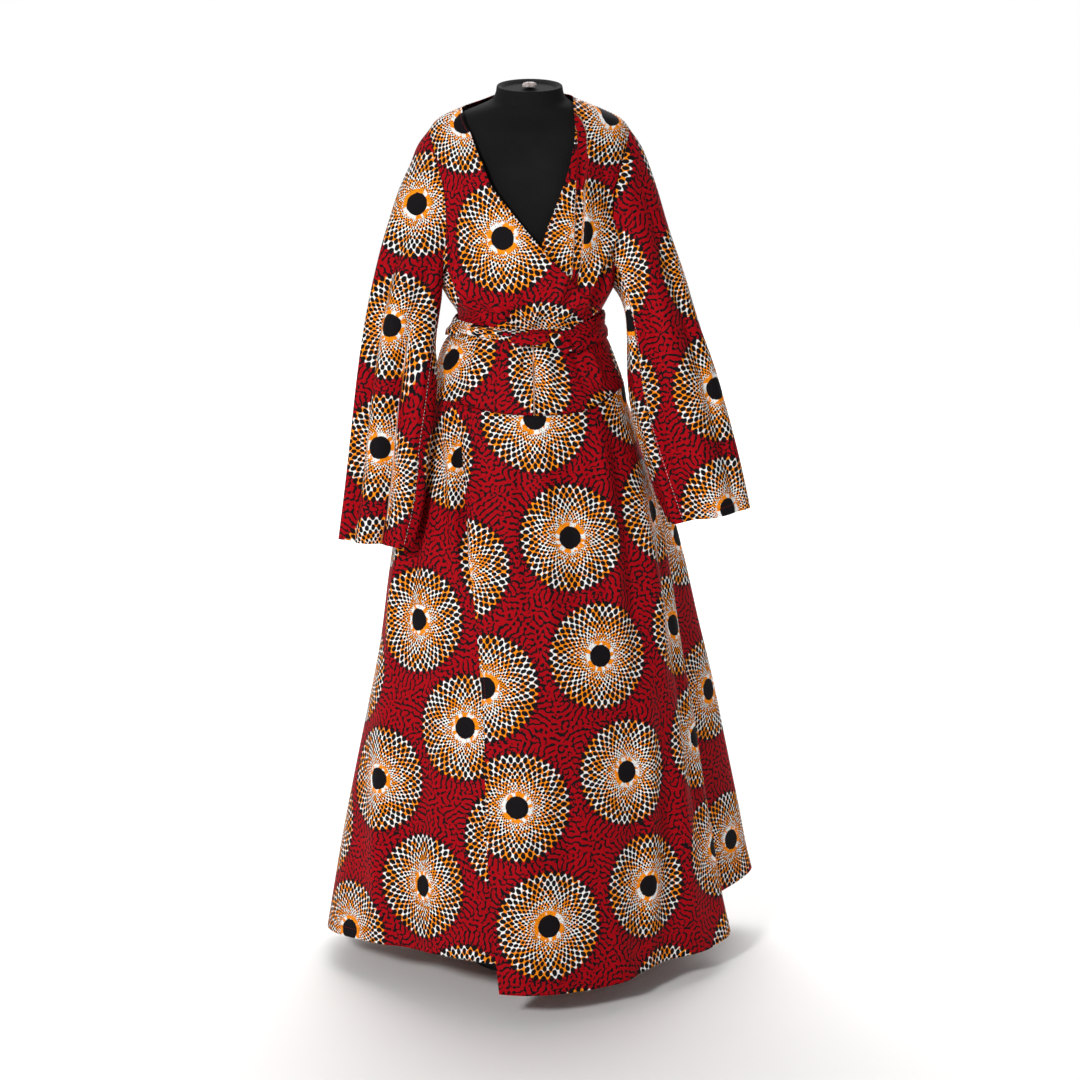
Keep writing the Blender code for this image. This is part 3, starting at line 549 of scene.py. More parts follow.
def eased(places: Array, points: Array, step: int = 7, rounds: int = 500, gain: float = 0.22) -> Array:
    """Evens out a flat, so that its lengths come near to those on the cloth.

    On a coarse grid each pair of neighbours, the slanting ones too, is drawn
    together or apart by a part of the difference between its length laid flat and
    its length on the cloth, again and again; the fine grid follows the coarse one.

    Args:
        places: The flat to start from.
        points: The same grid on the cloth.
        step: How many fine steps are one coarse step.
        rounds: How many times the pairs are drawn.
        gain: The part of the difference that one round takes away.

    Returns:
        The evened flat.
    """
    rows, cols = (
        np.unique(np.append(np.arange(0, size, step), size - 1)) for size in points.shape[:2]
    )
    flat, solid = places[np.ix_(rows, cols)].copy(), points[np.ix_(rows, cols)]
    pairs = []
    for down, over in ((0, 1), (1, 0), (1, 1), (1, -1)):
        near = (slice(0, len(rows) - down), slice(max(0, -over), len(cols) - max(0, over)))
        far = (slice(down, len(rows)), slice(max(0, over), len(cols) + min(0, over)))
        pairs.append((near, far, np.linalg.norm(solid[far] - solid[near], axis=-1)))
    for _ in range(rounds):
        move = np.zeros_like(flat)
        for near, far, length in pairs:
            gap = flat[far] - flat[near]
            now = np.maximum(np.linalg.norm(gap, axis=-1), 1e-6)
            pull = gap * ((1 - length / now) / 2)[..., None]
            move[near] += pull
            move[far] -= pull
        flat += gain * move
    change = flat - places[np.ix_(rows, cols)]
    for axis, (stops, spread) in enumerate(((rows, (-1, 1, 1)), (cols, (1, -1, 1)))):
        at = np.arange(points.shape[axis])
        i = np.clip(np.searchsorted(stops, at, side="right") - 1, 0, len(stops) - 2)
        share = ((at - stops[i]) / (stops[i + 1] - stops[i])).reshape(spread)
        change = np.take(change, i, axis) * (1 - share) + np.take(change, i + 1, axis) * share
    return places + change


def coons(bottom: tuple, top: tuple, left: tuple, right: tuple) -> tuple[Array, Array]:
    """A grid of angle and height between four edges: the blend of both pairs less the corners.

    Args:
        bottom: Angles and heights of the lowest row.
        top: Those of the highest row.
        left: Those of the first column.
        right: Those of the last column.

    Returns:
        The grid of angles and the grid of heights.
    """
    bottom, top, left, right = (np.stack(edge, -1) for edge in (bottom, top, left, right))
    u = np.linspace(0, 1, len(bottom))[None, :, None]
    v = np.linspace(0, 1, len(left))[:, None, None]
    edges = (1 - v) * bottom[None] + v * top[None] + (1 - u) * left[:, None] + u * right[:, None]
    low, high = (1 - u) * bottom[0] + u * bottom[-1], (1 - u) * top[0] + u * top[-1]
    grid = edges - (1 - v) * low - v * high
    return grid[..., 0], grid[..., 1]


def along(points: Sequence[Place], count: int) -> tuple[Array, Array]:
    """Evenly spaced places on a smooth curve through points across and up.

    Args:
        points: The curve's points.
        count: How many places.

    Returns:
        Places across, and heights.
    """
    length = travelled(np.array(points))
    x, z = smooth(length, points, np.linspace(0, length[-1], count)).T
    return x, z


def armhole(turns: Array, side: float, face: int) -> tuple[Array, Array]:
    """Angles and heights of an armhole's edge, from the underarm to the shoulder tip."""
    middle, reach = (UNDERARM + SHOULDER_TIP) / 2, (SHOULDER_TIP - UNDERARM) / 2
    return side + face * ARMHOLE_REACH * np.cos(turns), middle + reach * np.sin(turns)


def side_line(side: float, face: int, rows: int) -> tuple[Array, Array]:
    """A side seam from the waist to the underarm, then half the armhole up to the shoulder.

    Args:
        side: The seam's angle.
        face: 1 or -1, the way round in which the piece lies from it.
        rows: How many points.

    Returns:
        Angles and heights, half the seam's gap away from it.
    """
    low = max(3, rows // 6)
    seam_z = np.linspace(WAIST_SEAM + SEAM_GAP, UNDERARM, low + 1)[:-1]
    angle, z = armhole(np.linspace(-math.pi / 2, math.pi / 2, rows - low), side, face)
    angle = np.concatenate([np.full(low, float(side)), angle]) + face * HALF_SEAM_TURN
    return angle, np.concatenate([seam_z, z])


def mesh_piece(name: str, points: Array, faces: list, finish: bpy.types.Material) -> bpy.types.Object:
    """A mesh object from points and faces, shaded smooth, with its material.

    Args:
        name: The object's name.
        points: Its points, in any grid.
        faces: Its faces, by point.
        finish: Its material.

    Returns:
        The object, in the scene.
    """
    mesh = bpy.data.meshes.new(name)
    mesh.from_pydata(points.reshape(-1, 3).tolist(), [], faces)
    mesh.shade_smooth()
    mesh.materials.append(finish)
    made = bpy.data.objects.new(name, mesh)
    bpy.context.scene.collection.objects.link(made)
    return made


def grid_faces(rows: int, count: int, closed: bool = False) -> Array:
    """Quads between the rows of a grid, in the order that faces out of an anticlockwise one.

    Args:
        rows: How many rows.
        count: How many points each has.
        closed: Whether a row ends at its start.

    Returns:
        The quads, by point.
    """
    place = np.arange(rows * count).reshape(rows, count)
    after = np.roll(place, -1, axis=1) if closed else place[:, 1:]
    here = place if closed else place[:, :-1]
    return np.stack([here[:-1], after[:-1], after[1:], here[1:]], -1).reshape(-1, 4)


def ring_faces(rows: int, count: int) -> list[list[int]]:
    """Faces of a stack of closed rings: the quads between them, and one face at each end."""
    ends = [list(range(count))[::-1], list(range(count * (rows - 1), count * rows))]
    return grid_faces(rows, count, closed=True).tolist() + ends


def give_places(piece: bpy.types.Object, places: Array) -> None:
    """Writes flat places as the piece's UV map, in metres.

    Args:
        piece: The piece.
        places: A place for each of its points.
    """
    layer = piece.data.uv_layers.new(name="cloth")
    index = np.empty(len(piece.data.loops), int)
    piece.data.loops.foreach_get("vertex_index", index)
    layer.data.foreach_set("uv", places.reshape(-1, 2)[index].astype(np.float32).ravel())


def cloth_piece(
    name: str, points: Array, outward: Array, places: Array, finish: bpy.types.Material,
    thickness: float = CLOTH,
) -> bpy.types.Object:
    """A thin cloth shell from a grid of outer points.

    Args:
        name: The piece's name.
        points: Rows and columns of points.
        outward: Outward directions, to turn the faces by.
        places: The same grid laid flat, in metres.
        finish: Its material.
        thickness: How thick the cloth is, inwards.

    Returns:
        The object, with its flat places as UV map and its thickness as a modifier.
    """
    faces = grid_faces(*points.shape[:2])
    flat_points, flat_out = points.reshape(-1, 3), outward.reshape(-1, 3)
    a, b, c = (flat_points[faces[:, k]] for k in range(3))
    if np.sum(np.cross(b - a, c - a) * flat_out[faces[:, 0]]) < 0:
        faces = faces[:, ::-1]
    piece = mesh_piece(name, points, faces.tolist(), finish)
    give_places(piece, places)
    solid = piece.modifiers.new("thickness", "SOLIDIFY")
    solid.thickness, solid.offset, solid.use_even_offset = thickness, -1.0, False
    return piece


class Nodes:
    """Short calls that add and join nodes in one node tree."""

    def __init__(self, tree: bpy.types.NodeTree) -> None:
        """Keeps the tree."""
        self.tree = tree

    def add(self, kind: str, inputs: dict | None = None, **settings: Any) -> bpy.types.Node:
        """Adds a node, sets its settings, and joins or sets its inputs.

        Args:
            kind: Blender's name of the node.
            inputs: Sockets or values, by input.
            settings: The node's own settings.

        Returns:
            The node.
        """
        node = self.tree.nodes.new(kind)
        for name, value in settings.items():
            setattr(node, name, value)
        self.give(node, inputs or {})
        return node

    def give(self, node: bpy.types.Node, inputs: dict) -> None:
        """Joins sockets to a node's inputs, or sets them to values.

        Args:
            node: The node.
            inputs: Sockets or values, by input.
        """
        for name, value in inputs.items():
            if isinstance(value, bpy.types.NodeSocket):
                self.tree.links.new(value, node.inputs[name])
            else:
                node.inputs[name].default_value = value

    def math(self, operation: str, *values: Any) -> bpy.types.NodeSocket:
        """The result of a Math node."""
        return self.add("ShaderNodeMath", dict(enumerate(values)), operation=operation).outputs[0]

    def vector(self, operation: str, *values: Any) -> bpy.types.NodeSocket:
        """The result of a Vector Math node."""
        node = self.add("ShaderNodeVectorMath", dict(enumerate(values)), operation=operation)
        return node.outputs["Value" if operation == "LENGTH" else "Vector"]

    def join(self, x: Any, y: Any, z: Any = 0.0) -> bpy.types.NodeSocket:
        """A vector from three numbers."""
        return self.add("ShaderNodeCombineXYZ", {"X": x, "Y": y, "Z": z}).outputs[0]

    def step(self, value: Any, low: float, high: float) -> bpy.types.NodeSocket:
        """0 below low, 1 above high, and a soft step between them."""
        node = self.add(
            "ShaderNodeMapRange", {"Value": value, "From Min": low, "From Max": high},
            interpolation_type="SMOOTHSTEP",
        )
        return node.outputs["Result"]

    def fall(self, value: Any, low: float, high: float) -> bpy.types.NodeSocket:
        """1 below low, 0 above high, and a soft step between them."""
        return self.math("SUBTRACT", 1.0, self.step(value, low, high))

    def blend(self, share: Any, first: Any, second: Any) -> bpy.types.NodeSocket:
        """The first colour mixed to the second by share."""
        return self.add("ShaderNodeMix", {0: share, 6: first, 7: second}, data_type="RGBA").outputs[2]

    def split(self, vector: Any) -> bpy.types.bpy_prop_collection:
        """The three numbers of a vector."""
        return self.add("ShaderNodeSeparateXYZ", {0: vector}).outputs

    def noise(self, place: Any, scale: float, detail: float = 1.0, output: str = "Fac") -> Any:
        """The value of a Noise texture, or its colour."""
        inputs = {"Vector": place, "Scale": scale, "Detail": detail}
        return self.add("ShaderNodeTexNoise", inputs).outputs[output]

    def uneven(self, place: Any, scale: float, detail: float, change: float, least: float) -> Any:
        """A value that wanders with noise from the least one up by the change."""
        return self.math("MULTIPLY_ADD", self.noise(place, scale, detail), change, least)

    def bump(self, height: Any, strength: float, distance: float = 1.0) -> bpy.types.NodeSocket:
        """The normal of a height map."""
        inputs = {"Strength": strength, "Distance": distance, "Height": height}
        return self.add("ShaderNodeBump", inputs).outputs["Normal"]


def new_finish(name: str) -> tuple[bpy.types.Material, Nodes, bpy.types.Node]:
    """A new material, the calls for its nodes, and its Principled shader.

    Args:
        name: The material's name.

    Returns:
        The material, its nodes and its shader.
    """
    made = bpy.data.materials.new(name)
    made.use_nodes = True
    return made, Nodes(made.node_tree), made.node_tree.nodes["Principled BSDF"]


def new_group(name: str, takes: dict[str, str], gives: dict[str, str]) -> tuple[Nodes, Any, Any]:
    """A shader node group with named sockets, and its input and output nodes.

    Args:
        name: The group's name.
        takes: Kinds of its inputs, by name.
        gives: Kinds of its outputs, by name.

    Returns:
        The calls for its nodes, and its input and output nodes.
    """
    tree = bpy.data.node_groups.new(name, "ShaderNodeTree")
    for label, kind in takes.items():
        tree.interface.new_socket(label, in_out="INPUT", socket_type=f"NodeSocket{kind}")
    for label, kind in gives.items():
        tree.interface.new_socket(label, in_out="OUTPUT", socket_type=f"NodeSocket{kind}")
    nodes = Nodes(tree)
    return nodes, nodes.add("NodeGroupInput"), nodes.add("NodeGroupOutput")


@dataclass(frozen=True)
class WaxPrint:
    """The print: medallions of dots on a regular grid, on a red ground with black veins.

    A medallion is a black disc in an orange and white ring, then rows of black dots
    in an orange and white net. The rows keep one count of dots and grow outwards:
    with u the turn in dots and w the logarithm of the radius in rows, the dots stand
    in a staggered grid of u and w. A pair of numbers is where a soft step starts and
    ends, unless its comment says otherwise.
    """

    red: Colour = (0.40, 0.0025, 0.0075, 1)
    black: Colour = (0.0085, 0.0070, 0.0085, 1)
    orange: Colour = (1.0, 0.29, 0.006, 1)
    white: Colour = (0.93, 0.92, 0.90, 1)
    # metres: the grid's steps, a medallion's radius, how far the drawing wavers
    across: float = 0.198
    up: float = 0.2005
    radius: float = 0.0865
    waver: float = 0.0022
    waver_scale: float = 160.0
    # rows, with 0 at the radius: a row's share of the radius, the ring, the disc, full-sized dots
    dots: int = 42
    row: float = 0.113
    ring_row: float = -10.95
    disc_row: float = -13.65
    full_row: float = -3.0
    # a dot's half sizes in dots and rows, the inner dots' size, what the outermost ones lose
    dot_half: tuple[float, float] = (0.325, 0.62)
    inner_size: float = 0.76
    outer_loss: float = 0.22
    # the teeth round a medallion, in rows: their height and their foot
    tooth: float = 1.3
    foot: float = -0.55
    # noise between orange and white: scale and soft step of the net and of the ring
    net_scale: float = 0.85
    net_step: tuple[float, float] = (0.485, 0.515)
    ring_scale: float = 0.34
    ring_step: tuple[float, float] = (0.49, 0.53)
    # black ticks in the ring: their half width in dots, and where the noise draws them
    tick_half: tuple[float, float] = (0.05, 0.12)
    tick_step: tuple[float, float] = (0.55, 0.60)
    # rough outline of ring and disc, in rows
    rough: float = 0.9
    rough_scale: float = 0.55
    # veins: their fineness, how much straighter they run near a medallion, and up to which row
    vein_scale: float = 36.0
    vein_repeat: float = 3.0
    wander: float = 0.12
    straighter: float = 0.50
    straight_rows: tuple[float, float] = (0.6, 3.2)
    vein_half: tuple[float, float] = (0.150, 0.180)
    # beads on the veins: their count for each vein scale, their radius, how near to a vein
    bead_scale: float = 2.9
    bead_radius: tuple[float, float] = (0.26, 0.31)
    bead_beside: tuple[float, float] = (0.20, 0.24)

    def group(self) -> bpy.types.NodeTree:
        """Builds the print as a group that takes a place on the cloth and gives its colour.

        Returns:
            The group.
        """
        n, takes, gives = new_group("wax print", {"Place": "Vector"}, {"Color": "Color"})
        place = takes.outputs["Place"]
        wobble = n.noise(place, self.waver_scale, output="Color")
        wobble = n.vector("SUBTRACT", wobble, (0.5, 0.5, 0.5))
        place = n.vector("ADD", place, n.vector("MULTIPLY", wobble, (self.waver, self.waver, 0.0)))
        split = n.split(place)
        x = n.math("WRAP", split[0], self.across / 2, -self.across / 2)
        y = n.math("WRAP", split[1], self.up / 2, -self.up / 2)
        shifted = n.vector("ADD", place, (self.across / 2, self.up / 2, 0))
        cell = n.vector("SNAP", shifted, (self.across, self.up, 1))
        middle = n.join(x, y)
        angle = n.math("ARCTAN2", y, x)
        turn = self.dots / math.tau
        u = n.math("MULTIPLY", angle, turn)
        share = n.math("DIVIDE", n.vector("LENGTH", middle), self.radius)
        w = n.math("DIVIDE", n.math("LOGARITHM", share, math.e), self.row)
        polar = n.vector("MULTIPLY", n.vector("NORMALIZE", middle), (turn, turn, 0))
        polar = n.vector("ADD", polar, n.join(0.0, 0.0, w))
        polar = n.vector("ADD", polar, n.vector("MULTIPLY", cell, (170.0, 170.0, 0)))
        dots = self._dots(n, u, w)
        medallion = self._medallion(n, u, w, polar, dots)
        ground = self._ground(n, place, middle, angle, w, dots)
        tooth = n.math("ABSOLUTE", n.math("WRAP", u, 0.5, -0.5))
        edge = n.math("SUBTRACT", w, n.math("MULTIPLY_ADD", tooth, self.tooth, self.foot))
        n.give(gives, {"Color": n.blend(n.fall(edge, -0.06, 0.06), ground, medallion)})
        return n.tree

    def _dots(self, n: Nodes, u: Any, w: Any) -> Any:
        """The mask of the dots: ovals in two grids, each two rows high, set half a dot apart.

        Args:
            n: The group's nodes.
            u: The turn in dots.
            w: How far out, in rows.

        Returns:
            1 on a dot, 0 beside it.
        """

        def oval(shift_u: float, shift_w: float) -> Any:
            """How far out of its oval's middle a place is, 1 on the outline.

            Args:
                shift_u: The grid's shift round, in dots.
                shift_w: Its shift outwards, in rows.

            Returns:
                0 in the middle, 1 on the outline.
            """
            wide = n.math("WRAP", n.math("ADD", u, shift_u), 0.5, -0.5)
            high = n.math("WRAP", n.math("ADD", w, shift_w), 1.0, -1.0)
            half_wide, half_high = self.dot_half
            wide, high = n.math("DIVIDE", wide, half_wide), n.math("DIVIDE", high, half_high)
            return n.vector("LENGTH", n.join(wide, high))

        nearest = n.math("MINIMUM", oval(0.0, 0.0), oval(0.5, 1.0))
        rows = {"From Min": self.ring_row, "From Max": self.full_row}
        sizes = {"To Min": self.inner_size, "To Max": 1.0}
        grown = n.add("ShaderNodeMapRange", {"Value": w, **rows, **sizes}).outputs["Result"]
        last = n.math("MULTIPLY_ADD", n.step(w, -0.3, 0.5), -self.outer_loss, 1.0)
        return n.fall(n.math("DIVIDE", nearest, n.math("MULTIPLY", grown, last)), 0.93, 1.07)

    def _medallion(self, n: Nodes, u: Any, w: Any, polar: Any, dots: Any) -> Any:
        """Colours inside a medallion: the net with its dots, the ring with its ticks, the disc.

        Args:
            n: The group's nodes.
            u: The turn in dots.
            w: How far out, in rows.
            polar: A place for noise that grows outwards.
            dots: The mask of the dots.

        Returns:
            The colour.
        """
        mixed = n.step(n.noise(polar, self.net_scale), *self.net_step)
        net = n.blend(mixed, self.orange, self.white)
        patches = n.noise(n.vector("MULTIPLY", polar, (1, 1, 0.4)), self.ring_scale)
        ring = n.blend(n.step(patches, *self.ring_step), self.orange, self.white)
        tick = n.fall(n.math("ABSOLUTE", n.math("WRAP", u, 0.5, -0.5)), *self.tick_half)
        drawn = n.step(n.noise(polar, 0.9, 0.0), *self.tick_step)
        ring = n.blend(n.math("MULTIPLY", tick, drawn), ring, self.black)
        w = n.math("ADD", w, n.uneven(polar, self.rough_scale, 1.0, self.rough, -self.rough / 2))
        outside = n.step(w, self.ring_row - 0.05, self.ring_row + 0.05)
        inner = n.blend(outside, ring, n.blend(dots, net, self.black))
        return n.blend(n.step(w, self.disc_row - 0.08, self.disc_row + 0.08), self.black, inner)

    def _ground(self, n: Nodes, place: Any, middle: Any, angle: Any, w: Any, dots: Any) -> Any:
        """Colours of the ground: wandering veins that start straight out of the medallions.

        The veins are lines of one phase of a Gabor texture. It follows the radius near
        a medallion and has no direction on the lines half way between two of them, so
        that it runs on there. Round beads thicken the veins here and there.

        Args:
            n: The group's nodes.
            place: The place on the cloth.
            middle: The same from its medallion's middle.
            angle: The turn round it.
            w: How far out, in rows.
            dots: The mask of the dots.

        Returns:
            The colour.
        """
        sides = n.vector("MULTIPLY", middle, (2 / self.across, 2 / self.up, 0.0))
        sides = n.split(n.vector("ABSOLUTE", sides))
        inside = n.fall(n.math("MAXIMUM", sides[0], sides[1]), 0.86, 1.0)
        near = n.fall(w, *self.straight_rows)
        drawn = n.math("MULTIPLY_ADD", near, self.straighter, self.wander)
        phase = n.add(
            "ShaderNodeTexGabor",
            {
                "Vector": place, "Scale": self.vein_scale, "Frequency": self.vein_repeat,
                "Anisotropy": n.math("MULTIPLY", drawn, inside),
                "Orientation": n.math("ADD", angle, math.pi / 2),
            },
            gabor_type="2D",
        ).outputs["Phase"]
        beside = n.math("ABSOLUTE", n.math("SUBTRACT", phase, 0.5))
        beads = n.add(
            "ShaderNodeTexVoronoi",
            {"Vector": place, "Scale": self.bead_scale * self.vein_scale, "Randomness": 0.75},
            voronoi_dimensions="2D",
        ).outputs["Distance"]
        bead = n.math(
            "MULTIPLY", n.fall(beads, *self.bead_radius), n.fall(beside, *self.bead_beside)
        )
        vein = n.math("MAXIMUM", n.fall(beside, *self.vein_half), bead)
        ground = n.blend(vein, self.red, self.black)
        return n.blend(n.math("MULTIPLY", dots, n.fall(w, 0.75, 0.8)), ground, self.black)


class Hold(Enum):
    """How a cloth piece is held."""

    DRAPED = "draped"
    HUNG = "hung"
    GATHERED = "gathered"
    FOLDED = "folded"


@dataclass(frozen=True)
class Printed:
    """The printed cotton of one panel: how its cut lies on the print."""

    name: str
    shift: tuple[float, float]
    turn: float

    def material(self) -> bpy.types.Material:
        """Builds the panel's cloth material: the print, the weave and a faint sheen.

        Returns:
            The material.
        """
        made, n, shader = new_finish(self.name)
        places = n.add("ShaderNodeUVMap", uv_map="cloth").outputs["UV"]
        shift, turn = (*self.shift, 0), (0, 0, math.radians(self.turn))
        laid = n.add("ShaderNodeMapping", {"Vector": places, "Location": shift, "Rotation": turn})
        wax = n.add("ShaderNodeGroup", {"Place": laid.outputs[0]}, node_tree=PRINT)
        weave = n.add("ShaderNodeGroup", {"Place": places}, node_tree=WEAVE)
        n.give(shader, {
            "Base Color": wax.outputs["Color"], "Normal": weave.outputs["Normal"],
            "Roughness": weave.outputs["Roughness"], "Specular IOR Level": 0.045,
        })
        return made


@dataclass(frozen=True)
class Thread:
    """Sewing thread: its name and colour."""

    name: str
    colour: Colour

    def material(self) -> bpy.types.Material:
        """Builds the thread: a twist as bump along its place, a little uneven in colour.

        Returns:
            The material.
        """
        made, n, shader = new_finish(self.name)
        place = n.add("ShaderNodeTexCoord").outputs["Object"]
        darker = tuple(0.72 * part for part in self.colour[:3]) + (1,)
        n.give(shader, {
            "Base Color": n.blend(n.step(n.noise(place, 300.0), 0.35, 0.65), self.colour, darker),
            "Normal": n.bump(n.noise(place, 2500.0), 0.5, 0.0003),
            "Roughness": 0.7, "Specular IOR Level": 0.15,
        })
        return made


WHITE_THREAD = Thread("white_thread", (0.86, 0.84, 0.80, 1))
RED_THREAD = Thread("red_thread", (0.30, 0.006, 0.010, 1))


class Edge(Enum):
    """An edge of a grid of points."""

    FIRST = "first"
    LAST = "last"
    LOWER = "lower"
    UPPER = "upper"


class Sewn(NamedTuple):
    """A row of stitches along an edge: how far in, how long each is, the space between."""

    edge: Edge
    inset: float
    length: float
    space: float
    thread: Thread


HEM = Sewn(Edge.LOWER, 0.0160, 0.0034, 0.0022, RED_THREAD)
# Rings of one stitch: its place in half lengths, its radius, how far out its middle is
STITCH = (
    (-1.0, 0.35 * THREAD_RADIUS, 0.1 * THREAD_RADIUS), (-0.8, THREAD_RADIUS, 0.7 * THREAD_RADIUS),
    (0.8, THREAD_RADIUS, 0.7 * THREAD_RADIUS), (1.0, 0.35 * THREAD_RADIUS, 0.1 * THREAD_RADIUS),
)
STITCH_SIDES = 6


def seam_path(points: Array, outward: Array, sewn: Sewn) -> tuple[Array, Array]:
    """The line of a row of stitches, and the outward directions along it.

    It is the edge moved inwards, along the direction of the third line of points.

    Args:
        points: The piece's grid of points.
        outward: Outward directions there.
        sewn: Which edge, and how far in.

    Returns:
        The line's points, and outward directions along it.
    """
    if sewn.edge in (Edge.FIRST, Edge.LAST):
        points, outward = np.swapaxes(points, 0, 1), np.swapaxes(outward, 0, 1)
    if sewn.edge in (Edge.LAST, Edge.UPPER):
        points, outward = points[::-1], outward[::-1]
    return points[0] + sewn.inset * unit(points[3] - points[0]), outward[3]


def sew(name: str, points: Array, outward: Array, rows: Sequence[Sewn]) -> None:
    """Sews rows of stitches along the edges of a piece's grid of points."""
    for sewn in rows:
        stitches(f"stitches_{name}_{sewn.edge.value}", *seam_path(points, outward, sewn), sewn)


def stitches(name: str, path: Array, outward: Array, sewn: Sewn) -> None:
    """A row of separate stitches on a path: each a small rounded bar half sunk in the cloth.

    Args:
        name: The piece's name.
        path: The line that they follow.
        outward: Outward directions along it.
        sewn: Their length, space and thread.
    """
    length = travelled(path)
    middle = np.arange(sewn.length, length[-1] - sewn.length, sewn.length + sewn.space)

    def at(values: Array, where: Array) -> Array:
        """Values along the path at travelled lengths."""
        return np.stack([np.interp(where, length, values[:, k]) for k in range(3)], -1)

    half = sewn.length / 2
    out = unit(at(outward, middle))
    run = unit(at(path, middle + half) - at(path, middle - half))
    side = np.cross(run, out)
    stops, thick, sunk = columns(STITCH)
    turns = np.linspace(0, math.tau, STITCH_SIDES, endpoint=False)
    base = at(path, middle)[:, None] + out[:, None] * sunk[:, None]
    base = base + run[:, None] * (stops * half)[:, None]
    ring = side[:, None, None] * np.cos(turns)[:, None] + out[:, None, None] * np.sin(turns)[:, None]
    points = base[:, :, None] + ring * thick[None, :, None, None]
    one, size = ring_faces(len(stops), STITCH_SIDES), len(stops) * STITCH_SIDES
    faces = [[size * k + place for place in face] for k in range(len(middle)) for face in one]
    finish = bpy.data.materials.get(sewn.thread.name) or sewn.thread.material()
    piece = mesh_piece(name, points, faces, finish)
    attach(piece, "root")
    log.info("%s: %d stitches", name, len(middle))


def weave_group() -> bpy.types.NodeTree:
    """A plain weave with small crumples: two crossed waves and noise as height, for any cloth.

    Returns:
        The group, which takes a place on the cloth.
    """
    gave = {"Normal": "Vector", "Roughness": "Float"}
    n, takes, gives = new_group("weave", {"Place": "Vector"}, gave)
    place = takes.outputs["Place"]
    pitch = 2600.0
    split = n.split(n.vector("MULTIPLY", place, (2 * pitch, 2 * pitch, 0.0)))
    plain = n.math("MULTIPLY", n.math("SINE", split[0]), n.math("SINE", split[1]))
    slub = n.noise(n.vector("MULTIPLY", place, (pitch, pitch, 0.0)), 0.04, 2.0)
    height = n.math("MULTIPLY", plain, 0.00003)
    height = n.math("ADD", height, n.math("MULTIPLY", n.noise(place, 34.0, 3.0), 0.0016))
    height = n.math("ADD", height, n.math("MULTIPLY", slub, 0.00010))
    n.give(gives, {
        "Normal": n.bump(height, 0.75), "Roughness": n.uneven(place, 60.0, 2.0, 0.16, 0.62),
    })
    return n.tree


def declare(
    piece: bpy.types.Object, node: str,
) -> None:
    """Attaches a cloth piece to the body, and hides the solid that it stands for.

    Args:
        piece: The cloth piece.
        node: The solid that it stands for.
    """
    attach(piece, "root")
    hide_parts(node)


@dataclass
class Panel:
    """A piece of the dress on the worn shape, ready to be made."""

    name: str
    angle: Array
    z: Array
    layer: Array
    flat: Flat
    print_shift: tuple[float, float]
    print_turn: float
    hold: Hold
    rests_on: tuple[str, ...]
    sewn: tuple[Sewn, ...] = ()

    def make(self) -> None:
        """Builds, dresses, declares and sews the piece."""
        points = WORN.surface(self.angle, self.z, self.layer)
        outward = WORN.normals(self.angle, self.z)
        places = self.flat.places(self.angle, self.z)
        finish = Printed(f"{self.name}_print", self.print_shift, self.print_turn).material()
        piece = cloth_piece(f"cloth_{self.name}", points, outward, places, finish)
        declare(piece, self.name)
        sew(self.name, points, outward, self.sewn)


